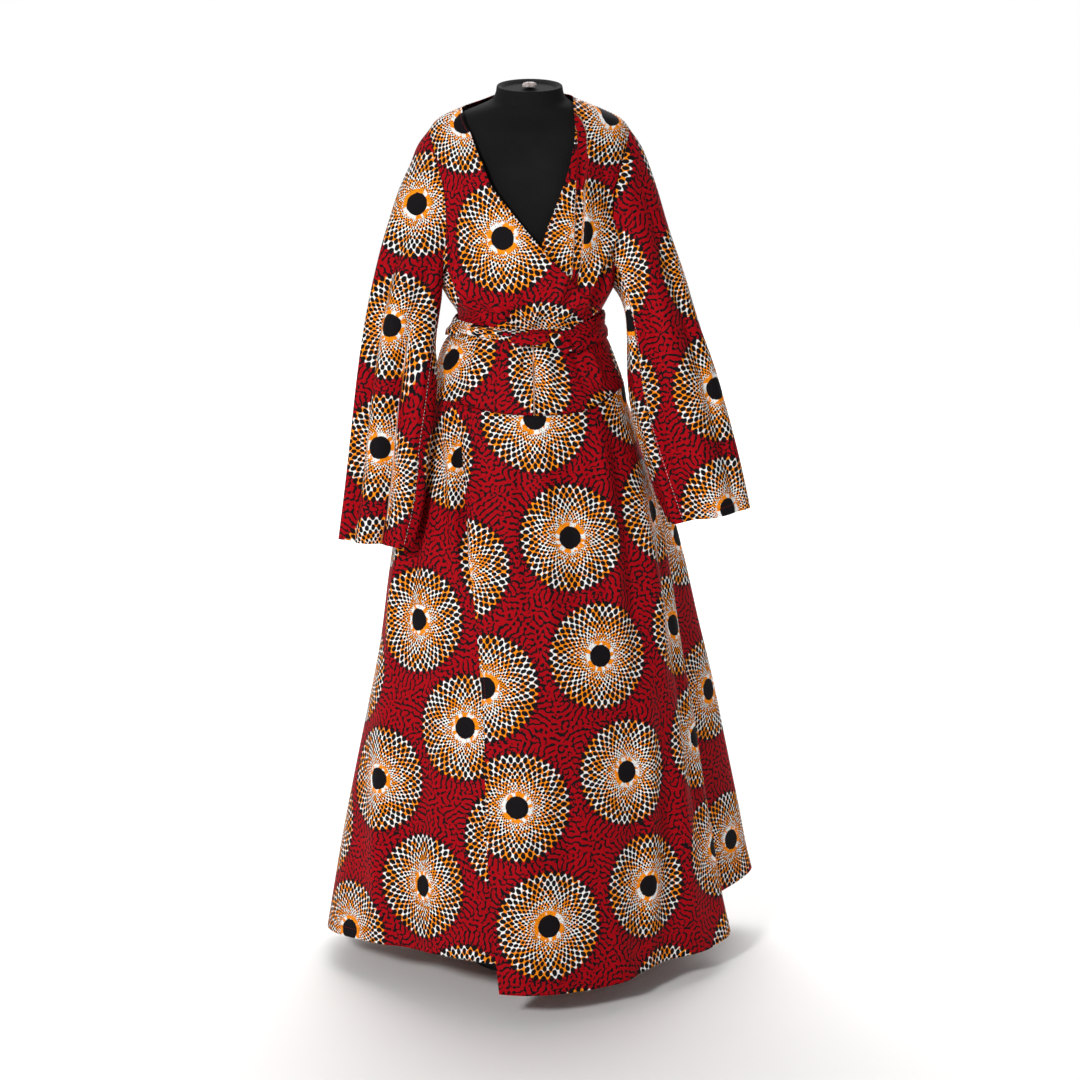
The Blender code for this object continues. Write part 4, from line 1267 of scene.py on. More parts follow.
@dataclass
class Bodice:
    """The two fronts and the back, with the armholes."""

    rows: int = 132
    front_columns: int = 118
    back_columns: int = 150

    def build(self) -> None:
        """Builds the three pieces."""
        front, back = Flat(270.0, *BODICE_SPAN), Flat(90.0, *BODICE_SPAN)
        pleated = Flat(270.0, *BODICE_SPAN, tucks=BODICE_PLEATS)
        angle, z = self.left_grid()
        layer = BODICE_LAYER * ramp(angle, 212, 248) * (1 - ramp(z, 1.36, 1.44))
        Panel(
            "bodice_front_left", angle, z, layer, front, (-0.0165, 0.0245), -19.2, Hold.DRAPED,
            ("dress_form",), (Sewn(Edge.LAST, 0.0035, 0.0030, 0.0026, RED_THREAD),),
        ).make()
        angle, z = self.right_grid()
        Panel(
            "bodice_front_right", angle, z, 0 * z, pleated, (-0.0514, 0.0042), 13.4, Hold.DRAPED,
            ("dress_form",), (Sewn(Edge.FIRST, 0.0035, 0.0030, 0.0026, RED_THREAD),),
        ).make()
        angle, z = self.back_grid()
        Panel(
            "bodice_back", angle, z, 0 * z, back, (0.02, 0.05), 3.0, Hold.DRAPED, ("dress_form",),
            (Sewn(Edge.UPPER, 0.0050, 0.0030, 0.0020, RED_THREAD),),
        ).make()

    def left_grid(self) -> tuple[Array, Array]:
        """Angles and heights of the front on top, out to its point over the sash.

        Returns:
            The grid of angles and the grid of heights.
        """
        side_angle, side_z = side_line(180, 1, self.rows)
        edge_x, edge_z = along(NECKLINE_LEFT, len(side_z))
        edge_angle = WORN.angle_at(edge_x, edge_z)
        edge_angle[-1] = side_angle[-1]
        u = np.linspace(0, 1, self.front_columns + 1)
        hem = side_angle[0] + (edge_angle[0] - side_angle[0]) * u
        hem_z = side_z[0] + (edge_z[0] - side_z[0]) * u**4
        top = side_angle[-1] + (edge_angle[-1] - side_angle[-1]) * u
        top_z = side_z[-1] + (edge_z[-1] - side_z[-1]) * u
        return coons((hem, hem_z), (top, top_z), (side_angle, side_z), (edge_angle, edge_z))

    def right_grid(self) -> tuple[Array, Array]:
        """Angles and heights of the front underneath.

        Returns:
            The grid of angles and the grid of heights.
        """
        side_angle, side_z = side_line(360, -1, self.rows)
        edge_x, edge_z = along(NECKLINE_RIGHT, len(side_z))
        edge_angle = WORN.angle_at(edge_x, edge_z)
        edge_angle[-1], edge_z[0] = side_angle[-1], side_z[0]
        u = np.linspace(0, 1, self.front_columns + 1)
        hem = edge_angle[0] + (side_angle[0] - edge_angle[0]) * u
        top = edge_angle[-1] + (side_angle[-1] - edge_angle[-1]) * u
        top_z = edge_z[-1] + (side_z[-1] - edge_z[-1]) * u
        return coons((hem, side_z[0] + 0 * u), (top, top_z), (edge_angle, edge_z), (side_angle, side_z))

    def back_grid(self) -> tuple[Array, Array]:
        """Angles and heights of the back, with the back of the neckline along its top.

        Returns:
            The grid of angles and the grid of heights.
        """
        right_angle, right_z = side_line(0, 1, self.rows)
        left_angle, left_z = side_line(180, -1, self.rows)
        u = np.linspace(0, 1, self.back_columns + 1)
        low, high = right_angle[0], left_angle[0]
        share, top, top_z = columns(BACK_TOP)
        top = np.clip(smooth(share, np.clip(top, low, high), u), low, high)
        return coons(
            (low + (high - low) * u, left_z[0] + 0 * u), (top, smooth(share, top_z, u)),
            (right_angle, right_z), (left_angle, left_z),
        )


@dataclass
class Yoke:
    """The band between waist and hip seam."""

    rows: int = 40
    columns: int = 170

    def build(self) -> None:
        """Builds the front and the back."""
        for name, start, end, middle, tucks, shift, turn in (
            ("yoke_front", 180, 360, 270.0, (YOKE_TUCK,), (0.0864, 0.0376), 14.7),
            ("yoke_back", 0, 180, 90.0, (), (0.03, 0.02), -4.0),
        ):
            angle = np.linspace(start + HALF_SEAM_TURN, end - HALF_SEAM_TURN, self.columns + 1)
            low = smooth(*columns(HIP_SEAM), angle) + SEAM_GAP / 2
            v = np.linspace(0, 1, self.rows + 1)[:, None]
            z = low + (WAIST_SEAM - low) * v
            flat = Flat(middle, *YOKE_SPAN, tucks)
            Panel(
                name, np.broadcast_to(angle, z.shape), z, 0 * z, flat, shift, turn, Hold.GATHERED,
                ("dress_form",), (Sewn(Edge.LOWER, 0.0020, 0.0026, 0.0014, RED_THREAD),),
            ).make()


@dataclass
class Skirt:
    """The over and the under front, and the back, down to the hems."""

    rows: int = 190
    over_columns: int = 230
    under_columns: int = 150
    back_columns: int = 230

    def grid(
        self, start: Callable[[Array], Array], end: Callable[[Array], Array],
        hem: Sequence[Level], count: int,
    ) -> tuple[Array, Array]:
        """Angles and heights between two edges, from the hem up to the hip seam.

        Args:
            start: The first edge's angle by its share of the height.
            end: The last edge's angle by its share of the height.
            hem: Heights of the hem.
            count: How many columns.

        Returns:
            The grid of angles and the grid of heights.
        """
        v = np.linspace(0, 1, self.rows + 1)[:, None]
        angle = start(v) + (end(v) - start(v)) * np.linspace(0, 1, count + 1)
        low = smooth(*columns(hem), angle)
        high = smooth(*columns(HIP_SEAM), np.where(angle >= 360, angle - 360, angle)) - SEAM_GAP / 2
        return angle, low + (high - low) * v

    @staticmethod
    def edge(points: Sequence[Place]) -> Callable[[Array], Array]:
        """The angle of an edge through points across and up, by its share of the height.

        Args:
            points: The edge's points, from the hem up.

        Returns:
            The angle as a function of the share of the height.
        """
        x, z = columns(points)

        def at(v: Array) -> Array:
            """The angle at a share of the height."""
            height = z[0] + (z[-1] - z[0]) * v
            return WORN.angle_at(smooth(z, x, height), height)

        return at

    @staticmethod
    def level(angle: float) -> Callable[[Array], Array]:
        """An edge that keeps one angle."""
        return lambda v: angle + 0 * v

    def build(self) -> None:
        """Builds the three panels."""
        front, side, back = (Flat(middle, *SKIRT_SPAN) for middle in (285.0, 232.0, 92.0))
        angle, z = self.grid(
            self.edge(WRAP_EDGE), self.level(360 + RIGHT_SEAM - HALF_SEAM_TURN), OVER_HEM,
            self.over_columns,
        )
        flown = FREE_EDGE_LIFT * ramp(z, 0.85, 0.05) * (1 - ramp(angle, 268, 300))
        layer = SKIRT_LAYER * (1 - ramp(angle, 318, 352)) + flown
        Panel(
            "skirt_front_over", angle, z, layer, front, (0.0235, 0.0439), -12.4, Hold.HUNG,
            ("cloth_yoke_front",), (HEM, Sewn(Edge.FIRST, 0.0060, 0.0030, 0.0020, RED_THREAD)),
        ).make()
        angle, z = self.grid(
            self.level(180 + HALF_SEAM_TURN), self.edge(UNDER_EDGE), UNDER_HEM, self.under_columns
        )
        Panel(
            "skirt_front_under", angle, z, 0 * z, side, (-0.0721, -0.0156), -34.0, Hold.HUNG,
            ("cloth_yoke_front",), (HEM,),
        ).make()
        angle, z = self.grid(
            self.level(RIGHT_SEAM + HALF_SEAM_TURN), self.level(180 - HALF_SEAM_TURN), BACK_HEM,
            self.back_columns,
        )
        Panel(
            "skirt_back", angle, z, 0 * z, back, (-0.0516, 0.0329), -25.6, Hold.HUNG,
            ("cloth_yoke_back",), (HEM,),
        ).make()


class Station(NamedTuple):
    """One ring of a sleeve: its outer and inner line, and its half depth."""

    outer_x: float
    outer_y: float
    outer_z: float
    inner_x: float
    inner_y: float
    inner_z: float
    half_depth: float


class Pleat(NamedTuple):
    """A long fold down a sleeve: angle round the tube (0 in front), width, height out."""

    angle: float
    width: float
    out: float


SLEEVE_LEFT = entries(
    Station,
    (0.180, 0.000, 1.405, 0.1520, -0.010, 1.140, 0.060),
    (0.194, 0.000, 1.374, 0.1535, -0.022, 1.112, 0.056),
    (0.2165, -0.001, 1.326, 0.1545, -0.038, 1.085, 0.051),
    (0.2365, -0.003, 1.262, 0.1535, -0.060, 1.052, 0.045),
    (0.2555, -0.007, 1.180, 0.1540, -0.078, 1.012, 0.039),
    (0.2712, -0.0145, 1.101, 0.1583, -0.0915, 0.966, 0.0345),
    (0.2831, -0.0238, 1.0205, 0.1652, -0.1027, 0.9155, 0.031),
    (0.2942, -0.0362, 0.9255, 0.1703, -0.1118, 0.8625, 0.029),
    (0.3052, -0.0461, 0.8355, 0.1783, -0.1158, 0.8065, 0.028),
    (0.316, -0.052, 0.754, 0.1930, -0.116, 0.752, 0.027),
)
SLEEVE_RIGHT = entries(
    Station,
    (0.180, 0.000, 1.405, 0.1470, -0.002, 1.156, 0.060),
    (0.192, -0.001, 1.380, 0.1540, -0.005, 1.142, 0.057),
    (0.210, -0.003, 1.330, 0.1590, -0.010, 1.122, 0.054),
    (0.231, -0.006, 1.262, 0.1605, -0.016, 1.095, 0.051),
    (0.257, -0.010, 1.188, 0.1610, -0.022, 1.060, 0.049),
    (0.281, -0.014, 1.110, 0.1625, -0.027, 1.015, 0.047),
    (0.307, -0.018, 1.040, 0.1680, -0.031, 0.968, 0.045),
    (0.328, -0.022, 0.970, 0.1800, -0.034, 0.918, 0.043),
    (0.351, -0.026, 0.885, 0.2030, -0.037, 0.850, 0.042),
    (0.370, -0.030, 0.803, 0.2300, -0.040, 0.779, 0.042),
)
SLEEVE_LEFT_FOLDS = entries(
    Pleat,
    (-48, 12, 0.0085), (-16, 8, -0.0130), (9, 12, 0.0110), (34, 9, -0.0105), (60, 13, 0.0050),
    (138, 15, -0.0055), (171, 16, 0.0065), (205, 15, -0.0065), (234, 13, 0.0040),
)
SLEEVE_RIGHT_FOLDS = entries(
    Pleat,
    (-52, 10, 0.009), (-24, 10, -0.009), (10, 16, 0.009), (44, 12, -0.008), (140, 15, -0.006),
    (172, 16, 0.007), (208, 15, -0.007), (236, 13, 0.004),
)


@dataclass
class Sleeve:
    """A hanging sleeve: one cut piece, wrapped round and sewn along its underarm seam."""

    name: str
    side: int
    stations: tuple[Station, ...]
    pleats: tuple[Pleat, ...]
    seam: float
    print_shift: tuple[float, float]
    print_turn: float
    slips: tuple[Slip, ...] = ()
    turns: int = 150
    rows: int = 210
    top_gap: float = 0.0010

    def build(self) -> None:
        """Builds the sleeve's cloth from rings between the armhole and the cuff.

        A ring is middle + half x sin(turn) + depth x cos(turn), with middle, half
        and depth smooth along the stations; the pleats push it out along its normals.
        """
        turns = np.radians(self.seam + np.linspace(0, 360, self.turns + 1))
        rings = self.rings(turns)
        around = np.gradient(rings, axis=1)
        around[:, 0] = around[:, -1] = rings[:, 1] - rings[:, -2]
        outward = unit(np.cross(around, np.gradient(rings, axis=0)))
        away = np.sum(outward * (rings - rings.mean(axis=1, keepdims=True)))
        outward = outward * np.sign(away)
        share = np.linspace(0, 1, len(rings))[:, None]
        angle = np.degrees(turns)
        out = np.zeros(rings.shape[:2])
        for pleat in self.pleats:
            near = np.exp(-((apart(angle, pleat.angle) / pleat.width) ** 2))
            out = out + pleat.out * ramp(share, 0.10, 0.5) * near
        points = rings + out[..., None] * outward
        places = self.flat(points)
        finish = Printed(f"{self.name}_print", self.print_shift, self.print_turn).material()
        piece = cloth_piece(f"cloth_{self.name}", points, outward, self.slipped(places), finish)
        declare(piece, self.name)
        sew(self.name, points, outward, (
            Sewn(Edge.UPPER, 0.0140, 0.0034, 0.0022, RED_THREAD),
            Sewn(Edge.FIRST, 0.0025, 0.0030, 0.0028, WHITE_THREAD),
        ))

    def rings(self, turns: Array) -> Array:
        """Rings of points from the armhole to the cuff, without the pleats.

        Args:
            turns: Turns round the sleeve, in radians.

        Returns:
            The rings, from the armhole down.
        """
        face = 1 if self.side == 180 else -1
        mirror = np.array([-1.0 if self.side == 180 else 1.0, 1.0, 1.0])
        table = columns(self.stations)
        outer, inner = np.stack(table[0:3], -1) * mirror, np.stack(table[3:6], -1) * mirror
        middle, half = (outer + inner) / 2, (outer - inner) / 2
        hole_angle, hole_z = armhole(turns, self.side, face)
        hole = WORN.points(hole_angle, hole_z)
        ends = WORN.points(*armhole(np.array([-math.pi / 2, math.pi / 2]), self.side, face))
        path = np.gradient(np.concatenate([[ends.mean(axis=0)], middle]), axis=0)[1:]
        depth = unit(-mirror[0] * np.cross(half, path)) * table[6][:, None]
        sin, cos = np.sin(turns)[:, None], np.cos(turns)[:, None]
        rings = middle[:, None] + half[:, None] * sin + depth[:, None] * cos
        start = hole + self.top_gap * unit(rings[0] - hole)
        rings = np.concatenate([start[None], rings])
        return smooth(np.arange(len(rings)), rings, np.linspace(0, len(rings) - 1, self.rows + 1))

    def flat(self, points: Array) -> Array:
        """The sleeve laid flat: length round it seen along the sleeve, and length up from its cuff.

        The line down its front drifts sideways near the armhole.

        Args:
            points: The sleeve's grid of points.

        Returns:
            Places across and up, in metres.
        """
        down = unit(points[-1].mean(axis=0) - points[len(points) // 3].mean(axis=0))
        level = points - (points @ down)[..., None] * down
        length = travelled(level, 1)
        front = int(round((-self.seam % 360) / 360 * self.turns))
        turned = self.seam + np.linspace(0, 360, self.turns + 1)
        side = unit(points[-1, front + 3] - points[-1, front - 3])
        drift = (points[:, front] - points[-1, front]) @ (side - (side @ down) * down)
        across = length - length[:, [front]] + drift[:, None] * np.cos(np.radians(turned))
        up = travelled(points[::-1])[::-1]
        places = eased(np.stack([across, up - points[-1] @ down], -1), points)
        return places * np.array([-1.0 if self.side == 0 else 1.0, 1.0])

    def slipped(self, places: Array) -> Array:
        """The flat places, with those beyond each fold moved up by what hangs lower.

        Args:
            places: The flat places of the whole cut.

        Returns:
            The places by which the print lies on the sleeve.
        """
        turned = self.seam + np.linspace(0, 360, self.turns + 1)
        share = np.linspace(0, 1, len(places))[:, None]
        places = places.copy()
        for slip in self.slips:
            beyond = 1 - ramp(turned, slip.angle - slip.reach, slip.angle + slip.reach)
            places[..., 1] += slip.lower * ramp(share, slip.start, slip.end) * beyond
        return places


class Band(NamedTuple):
    """The sash at one angle: the height of its middle and its half width."""

    angle: float
    z: float
    half_width: float


class Loop(NamedTuple):
    """A bow loop at one place: its half width and how far it stands off the dress."""

    x: float
    z: float
    half_width: float
    lift: float


class Gather(NamedTuple):
    """A long fold along the sash: its place across the band, how it wanders, how far out."""

    place: float
    swing: float
    waves: float
    phase: float
    width: float
    out: float


SASH = entries(
    Band,
    (0, 1.110, 0.0215), (90, 1.112, 0.0215), (180, 1.104, 0.0180), (225, 1.105, 0.0110),
    (256, 1.100, 0.0110), (280, 1.096, 0.0150), (300, 1.093, 0.0205), (330, 1.104, 0.0215),
    (360, 1.110, 0.0215),
)
GATHERS = entries(
    Gather,
    (-0.62, 0.16, 2.0, 0.4, 0.13, 0.0011), (-0.38, 0.14, 3.0, 1.9, 0.10, -0.0013),
    (-0.08, 0.18, 2.0, 2.6, 0.14, 0.0012), (0.20, 0.15, 3.0, 0.9, 0.10, -0.0013),
    (0.48, 0.16, 2.0, 4.1, 0.13, 0.0011), (0.74, 0.10, 3.0, 3.3, 0.09, -0.0010),
)
LOOP_LEFT = entries(
    Loop,
    (-0.0890, 1.1030, 0.0080, 0.0140), (-0.0620, 1.1050, 0.0105, 0.0160),
    (-0.0262, 1.0985, 0.0050, 0.0212),
)
LOOP_RIGHT = entries(
    Loop,
    (0.0294, 1.0970, 0.0050, 0.0212), (0.0460, 1.0860, 0.0095, 0.0158),
    (0.0600, 1.0730, 0.0080, 0.0134),
)
KNOT_X, KNOT_Z = 0.0005, 1.0975
KNOT_HALF = (0.0315, 0.0085, 0.0115)
KNOT_CLEAR = 0.0020
# The sash's cloth is this much wider laid flat than gathered
GATHERED_IN = 1.25


class Sash:
    """The tied sash: its band round the waist, the knot and the two short loops."""

    def build(self) -> None:
        """Builds the four pieces."""
        self.band()
        self.knot()
        self.loop("loop_left", LOOP_LEFT, (0.035, 0.02), 12.0)
        self.loop("loop_right", LOOP_RIGHT, (0.050, 0.045), 64.0)

    def finish(
        self, part: str, points: Array, outward: Array, places: Array, shift: tuple, turn: float,
        rests_on: tuple[str, ...],
    ) -> None:
        """Makes and declares one piece of the sash from its grid.

        Args:
            part: The piece's name after that of the sash.
            points: Its grid of points.
            outward: Outward directions there.
            places: The grid laid flat.
            shift: The cut's shift on the print.
            turn: Its turn in degrees.
            rests_on: What it lies on; not used.
        """
        cloth = Printed(f"sash_{part}_print", shift, turn).material()
        piece = cloth_piece(f"cloth_sash_{part}", points, outward, places, cloth, SASH_CLOTH)
        declare(piece, f"sash_{part}")

    def band(self) -> None:
        """The band, gathered along its length, its two ends in the knot."""
        angle = np.linspace(270.4, 270.4 + 360.0, 481)
        turn = np.mod(angle, 360.0)
        v = np.linspace(-1, 1, 49)[:, None]
        stops, middle, half = columns(SASH)
        z = smooth(stops, middle, turn) + smooth(stops, half, turn) * v
        tight = 0.55 + 0.45 * np.exp(-((apart(turn, 262.0) / 55.0) ** 2))
        out = SASH_LIFT + SASH_CROWN * (1 - v**2) - 0.0036 * ramp(np.abs(v), 0.72, 1.0)
        for g in GATHERS:
            line = g.place + g.swing * np.sin(np.radians(turn) * g.waves + g.phase)
            out = out + g.out * tight * np.exp(-(((v - line) / g.width) ** 2))
        turn = np.broadcast_to(turn, z.shape)
        normals = WORN.normals(turn, z)
        points = WORN.points(turn, z) + out[..., None] * normals
        across = travelled(points[len(points) // 2])
        up = smooth(stops, half, turn) * v * GATHERED_IN
        places = np.stack(np.broadcast_arrays(across, up), -1)
        self.finish(
            "band", points, normals, places, (-0.030, 0.090), 9.6,
            ("cloth_bodice_front_left", "cloth_bodice_front_right", "cloth_bodice_back"),
        )

    def knot(self) -> None:
        """The knot: a rounded roll of cloth, wrinkled along its length.

        Each ring is an oval whose half sizes fall off towards both ends as
        (1 - |s|^2.6)^0.5, pushed in and out by bells round it.
        """
        front = WORN.points(WORN.angle_at(np.array(KNOT_X), np.array(KNOT_Z)), np.array(KNOT_Z))
        middle_y = front[1] - (SASH_LIFT + SASH_CROWN + KNOT_CLEAR + KNOT_HALF[1])
        s = np.sin(np.linspace(-1, 1, 61) * math.pi / 2 * 0.9975)[:, None]
        turns = np.linspace(0, math.tau, 73)
        size = np.maximum((1 - np.abs(s) ** 2.6) ** 0.5, 0.02)
        grown = np.ones(np.broadcast(s, turns).shape)
        for at, swing, width, out in (
            (2.3, 0.35, 0.17, -0.13), (2.75, -0.30, 0.15, -0.12), (3.2, 0.25, 0.16, -0.15),
            (3.7, -0.35, 0.16, -0.12), (4.1, 0.2, 0.2, -0.10), (1.7, 0.2, 0.2, -0.1),
        ):
            grown = grown + out * np.exp(-(((turns - at - swing * s) / width) ** 2))
        waist = 1 - 0.10 * np.exp(-((s / 0.22) ** 2))
        y = middle_y + KNOT_HALF[1] * size * grown * np.cos(turns)
        z = KNOT_Z + KNOT_HALF[2] * size * grown * waist * np.sin(turns) + 0.0015 * s
        points = np.stack([KNOT_X + KNOT_HALF[0] * s + 0 * turns, y, z], -1)
        outward = np.stack([0 * y, y - middle_y, z - KNOT_Z], -1)
        girth = math.tau * (KNOT_HALF[1] + KNOT_HALF[2]) / 2
        places = np.stack([KNOT_HALF[0] * s + 0 * turns, girth * turns / math.tau + 0 * s], -1)
        self.finish("knot", points, outward, places, (0.10, 0.08), 8.0, ("cloth_sash_band",))

    def loop(self, part: str, table: tuple[Loop, ...], shift: tuple, turn: float) -> None:
        """A flattened loop of the bow: a folded tube of cloth, domed in front.

        Rings round the tube: cosine x half width across it, and out by the sine,
        times the dome in front or the fold's thickness behind.

        Args:
            part: The loop's name.
            table: Its places, from the far end to the other.
            shift: The cut's shift on the print.
            turn: Its turn in degrees.
        """
        at = np.linspace(0, len(table) - 1, 41)
        x, z, half, lift = smooth(np.arange(len(table)), table, at).T[..., None]
        run = unit(np.concatenate([np.gradient(x, axis=0), np.gradient(z, axis=0)], 1))
        turns = np.linspace(0, math.tau, 49)
        v, domed = np.cos(turns), np.sin(turns)
        across, up = x - run[:, 1:] * half * v, z + run[:, :1] * half * v
        ridge = 0.0007 * np.cos(v * 7.0 + at[:, None] * 1.3) * np.clip(domed, 0, 1)
        out = lift + np.where(domed > 0, 0.0020, 0.0028) * domed + ridge
        angle = WORN.angle_at(across, up)
        normals = WORN.normals(angle, up)
        points = WORN.points(angle, up) + out[..., None] * normals
        outward = points - points.mean(axis=1, keepdims=True)
        length = travelled(np.concatenate([x, z], 1))[:, None]
        places = np.stack([length + 0 * turns, half * 4 * (turns / math.tau - 0.5)], -1)
        self.finish(part, points, outward, places, shift, turn, ("cloth_sash_band",))


class Torso(NamedTuple):
    """One oval of the dress form, and how far it leans with the neck."""

    z: float
    half_width: float
    front: float
    back: float
    lean: float


TORSO = entries(
    Torso,
    (0.800, 0.118, 0.078, 0.084, 0.0), (0.812, 0.142, 0.097, 0.103, 0.0),
    (0.850, 0.157, 0.108, 0.114, 0.0), (0.900, 0.160, 0.111, 0.117, 0.0),
    (0.960, 0.151, 0.108, 0.111, 0.0), (1.030, 0.133, 0.100, 0.098, 0.0),
    (1.080, 0.113, 0.086, 0.082, 0.0), (1.120, 0.106, 0.082, 0.076, 0.0),
    (1.165, 0.115, 0.094, 0.081, 0.0), (1.220, 0.134, 0.112, 0.089, 0.0),
    (1.270, 0.143, 0.116, 0.093, 0.0), (1.330, 0.147, 0.104, 0.094, 0.0),
    (1.380, 0.151, 0.086, 0.087, 0.0), (1.408, 0.150, 0.074, 0.078, 0.0),
    (1.426, 0.146, 0.066, 0.0740, 0.0), (1.438, 0.1400, 0.057, 0.0675, 0.0),
    (1.449, 0.1245, 0.051, 0.0625, 0.1), (1.458, 0.1050, 0.049, 0.0585, 0.3),
    (1.466, 0.0830, 0.0485, 0.0555, 0.5), (1.474, 0.0640, 0.048, 0.051, 0.8),
    (1.483, 0.0570, 0.048, 0.0505, 0.9), (1.497, 0.0535, 0.049, 0.051, 1.0),
)
NECK_LEAN = 0.19
# Rings of the dish in the neck's top: their share of the neck's half sizes, how far down
DISH = (
    (0.995, -0.0002), (0.985, -0.0008), (0.965, -0.0006), (0.930, 0.0002), (0.880, 0.0012),
    (0.820, 0.0032), (0.800, 0.0042), (0.700, 0.0046), (0.450, 0.0048), (0.150, 0.0048),
)


@dataclass(frozen=True)
class Jersey:
    """Matte black knit stretched over the form."""

    colour: Colour = (0.0085, 0.0083, 0.0085, 1)

    def material(self) -> bpy.types.Material:
        """Builds the knit: fine ribs as bump, lint and slight fading.

        Returns:
            The material.
        """
        made, n, shader = new_finish("jersey")
        place = n.add("ShaderNodeTexCoord").outputs["Object"]
        faded = n.step(n.noise(place, 9.0, 3.0), 0.35, 0.75)
        lint = n.step(n.noise(place, 900.0, 1.0), 0.70, 0.80)
        colour = n.blend(faded, self.colour, (0.0125, 0.0120, 0.0125, 1))
        colour = n.blend(n.math("MULTIPLY", lint, 0.35), colour, (0.06, 0.06, 0.065, 1))
        split = n.split(place)
        ribs = n.math("SINE", n.math("MULTIPLY", split[0], 4200.0))
        loops = n.math("SINE", n.math("MULTIPLY", split[2], 5200.0))
        height = n.math("MULTIPLY", n.math("MULTIPLY", ribs, loops), 0.00004)
        height = n.math("ADD", height, n.math("MULTIPLY", n.noise(place, 420.0, 2.0), 0.00025))
        n.give(shader, {
            "Base Color": colour, "Normal": n.bump(height, 0.8),
            "Roughness": n.uneven(place, 30.0, 2.0, 0.12, 0.82), "Specular IOR Level": 0.10,
        })
        return made


@dataclass(frozen=True)
class Steel:
    """Black powder coat with fine grain, worn paler in patches."""

    colour: Colour = (0.030, 0.030, 0.032, 1)

    def material(self) -> bpy.types.Material:
        """Builds the coat.

        Returns:
            The material.
        """
        made, n, shader = new_finish("powder_coat")
        place = n.add("ShaderNodeTexCoord").outputs["Object"]
        worn = n.step(n.noise(place, 22.0, 4.0), 0.58, 0.72)
        n.give(shader, {
            "Base Color": n.blend(worn, self.colour, (0.055, 0.054, 0.054, 1)),
            "Normal": n.bump(n.math("MULTIPLY", n.noise(place, 900.0, 2.0), 0.0004), 0.5),
            "Roughness": n.uneven(place, 14.0, 3.0, 0.25, 0.32),
        })
        return made


@dataclass(frozen=True)
class Fitting:
    """Pale plastic of the small fitting in the neck, worn and a little pink."""

    colour: Colour = (0.52, 0.44, 0.42, 1)

    def material(self) -> bpy.types.Material:
        """Builds the plastic: stains in its colour, scratches as bump.

        Returns:
            The material.
        """
        made, n, shader = new_finish("pale_plastic")
        place = n.add("ShaderNodeTexCoord").outputs["Object"]
        stained = n.step(n.noise(place, 120.0, 3.0), 0.45, 0.62)
        scratched = n.noise(n.vector("MULTIPLY", place, (1.0, 6.0, 1.0)), 500.0, 2.0)
        n.give(shader, {
            "Base Color": n.blend(stained, self.colour, (0.30, 0.24, 0.22, 1)),
            "Normal": n.bump(scratched, 0.4, 0.0006),
            "Roughness": n.uneven(place, 60.0, 2.0, 0.25, 0.40),
        })
        return made


@dataclass
class DressForm:
    """The limbless form with its neck, whose top is a shallow dish."""

    sides: int = 120
    rows: int = 150
    neck: float = 1.42
    neck_rows: int = 60

    def build(self) -> None:
        """Builds the form: ovals of cosine and sine whose half sizes are smooth in height."""
        z, *sizes = columns(TORSO)
        body = np.linspace(z[0], self.neck, self.rows)
        heights = np.unique(np.concatenate([body, np.linspace(self.neck, z[-1], self.neck_rows)]))
        wide, front, back, lean = (smooth(z, size, heights) for size in sizes)
        turns = np.linspace(0, math.tau, self.sides, endpoint=False)
        share, drop = columns(DISH)
        wide, front, back = (np.append(size, size[-1] * share) for size in (wide, front, back))
        lean = np.append(lean, lean[-1] + 0 * share)
        heights = np.append(heights, heights[-1] - drop)
        sin, cos = np.sin(turns), np.cos(turns)
        y = np.where(sin < 0, front[:, None], back[:, None]) * sin
        z = heights[:, None] + NECK_LEAN * lean[:, None] * y
        points = np.stack([wide[:, None] * cos, y, z], -1)
        piece = mesh_piece(
            "form_torso", points, ring_faces(*points.shape[:2]), Jersey().material()
        )
        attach(piece, "root")
        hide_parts("dress_form")
        log.info("form_torso: %d faces", len(piece.data.polygons))


class Lamp(NamedTuple):
    """A round area lamp: where it is, what it aims at, its size and its power."""

    name: str
    place: tuple[float, float, float]
    aim: tuple[float, float, float]
    size: float
    watts: float


DRESS_MIDDLE = (0.0, 0.0, 0.85)
LAMPS = (
    Lamp("flash", (-1.8, -3.4, 2.5), DRESS_MIDDLE, 0.7, 106.0),
    Lamp("fill", (2.4, -3.2, 1.6), DRESS_MIDDLE, 2.5, 6.0),
    Lamp("top", (0.0, 1.6, 3.6), DRESS_MIDDLE, 3.0, 26.0),
    Lamp("backdrop", (0.0, 6.0, 5.0), (0.0, 5.99, 0.0), 9.0, 620.0),
)
FLOOR_HALF = 9.0


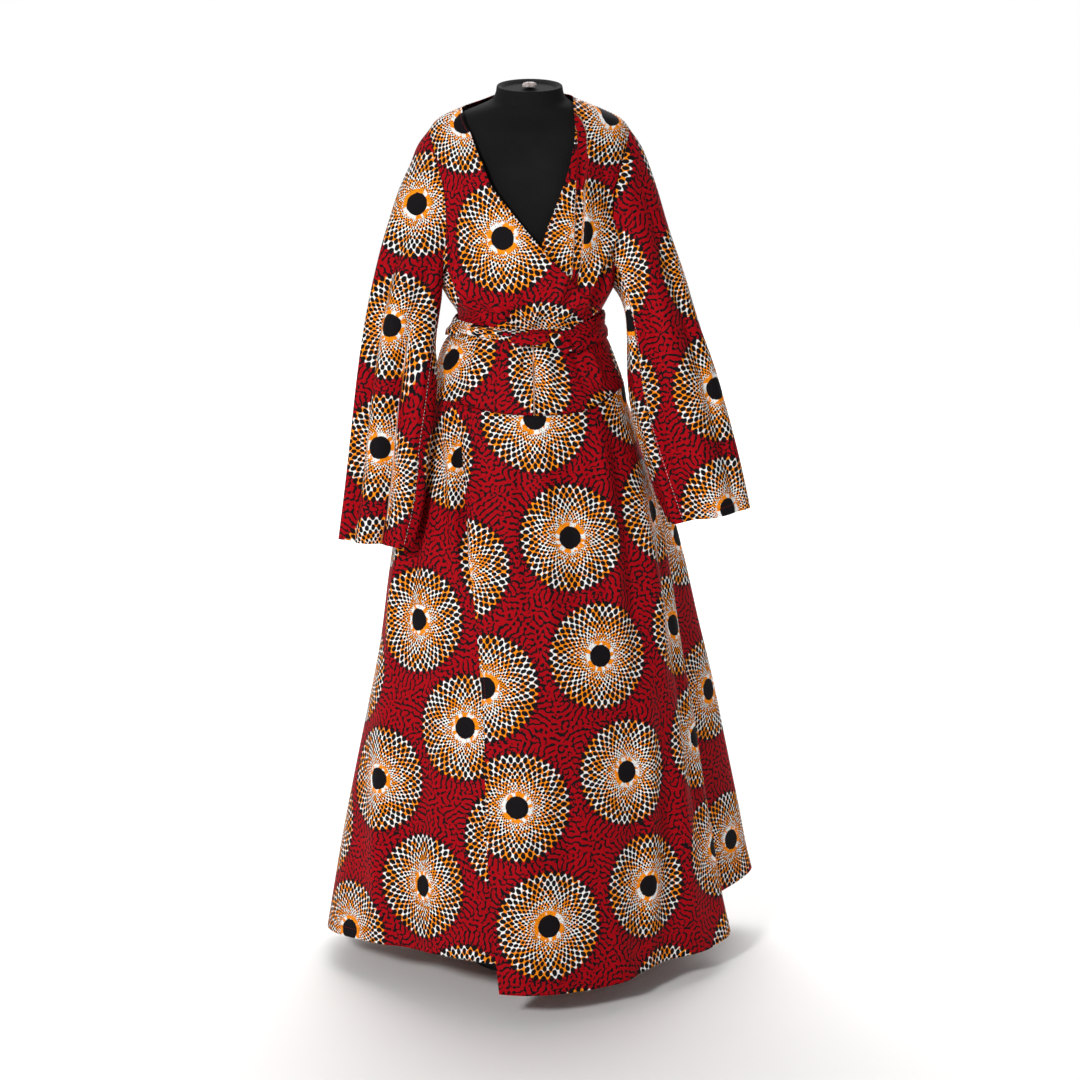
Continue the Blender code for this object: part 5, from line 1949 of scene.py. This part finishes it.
class Studio:
    """The floor, the light and the camera at the photograph's angle."""

    def build(self) -> None:
        """Sets the whole studio up."""
        self.floor()
        self.lights()
        self.camera()
        bpy.context.scene.view_settings.view_transform = "Standard"

    def floor(self) -> None:
        """A plain pale floor."""
        made, n, shader = new_finish("floor")
        n.give(shader, {"Base Color": (0.90, 0.895, 0.885, 1), "Roughness": 0.85})
        corners = FLOOR_HALF * np.array([[-1, -1, 0], [1, -1, 0], [1, 1, 0], [-1, 1, 0]], float)
        mesh_piece("floor", corners, [(0, 1, 2, 3)], made)

    def lights(self) -> None:
        """The lamps, and a world that is white behind the dress and grey in front of it."""
        for lamp in LAMPS:
            light = bpy.data.lights.new(lamp.name, "AREA")
            light.energy, light.size, light.shape = lamp.watts, lamp.size, "DISK"
            hung = bpy.data.objects.new(lamp.name, light)
            hung.location = lamp.place
            away = np.array(lamp.place) - np.array(lamp.aim)
            flat = float(np.hypot(away[0], away[1]))
            hung.rotation_euler = (math.atan2(flat, away[2]), 0.0, math.atan2(away[0], -away[1]))
            bpy.context.scene.collection.objects.link(hung)
        world = bpy.data.worlds.new("studio")
        world.use_nodes = True
        n = Nodes(world.node_tree)
        towards = n.split(n.add("ShaderNodeTexCoord").outputs["Generated"])
        behind = n.step(towards["Y"], 0.1, 0.7)
        paler = n.blend(behind, (0.20, 0.20, 0.204, 1), (1.0, 1.0, 1.0, 1))
        n.give(world.node_tree.nodes["Background"], {"Color": paler})
        bpy.context.scene.world = world

    def camera(self) -> None:
        """The camera of the photograph, whose frame is 1080 x 1080 pixels."""
        lens = bpy.data.cameras.new("photo")
        lens.sensor_fit = "HORIZONTAL"
        lens.angle = 2 * math.atan(PHOTO_PIXELS / 2 / FOCAL_PIXELS)
        eye = bpy.data.objects.new("photo", lens)
        eye.location = CAMERA_PLACE
        eye.rotation_euler = (math.radians(90 - CAMERA_PITCH), 0, 0)
        bpy.context.scene.collection.objects.link(eye)
        bpy.context.scene.camera = eye


def main() -> None:
    """Builds the dress, the form, the light and the camera."""
    Bodice().build()
    Yoke().build()
    Skirt().build()
    Sleeve(
        "sleeve_left", 180, SLEEVE_LEFT, SLEEVE_LEFT_FOLDS, -62.0, (0.0492, -0.0470), 3.4,
        (SLEEVE_SLIP,),
    ).build()
    Sleeve(
        "sleeve_right", 0, SLEEVE_RIGHT, SLEEVE_RIGHT_FOLDS, -42.0, (-0.0987, -0.0824), -11.2,
    ).build()
    Sash().build()
    DressForm().build()
    steel = Steel().material()
    for node in ("stand_base", "stand_pole"):
        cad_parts[node].material_slots[0].material = steel
    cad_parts["neck_knob"].material_slots[0].material = Fitting().material()
    Studio().build()


PRINT = WaxPrint().group()
WEAVE = weave_group()

if __name__ == "__main__":
    logging.basicConfig(level=logging.INFO, format="%(message)s")
    main()
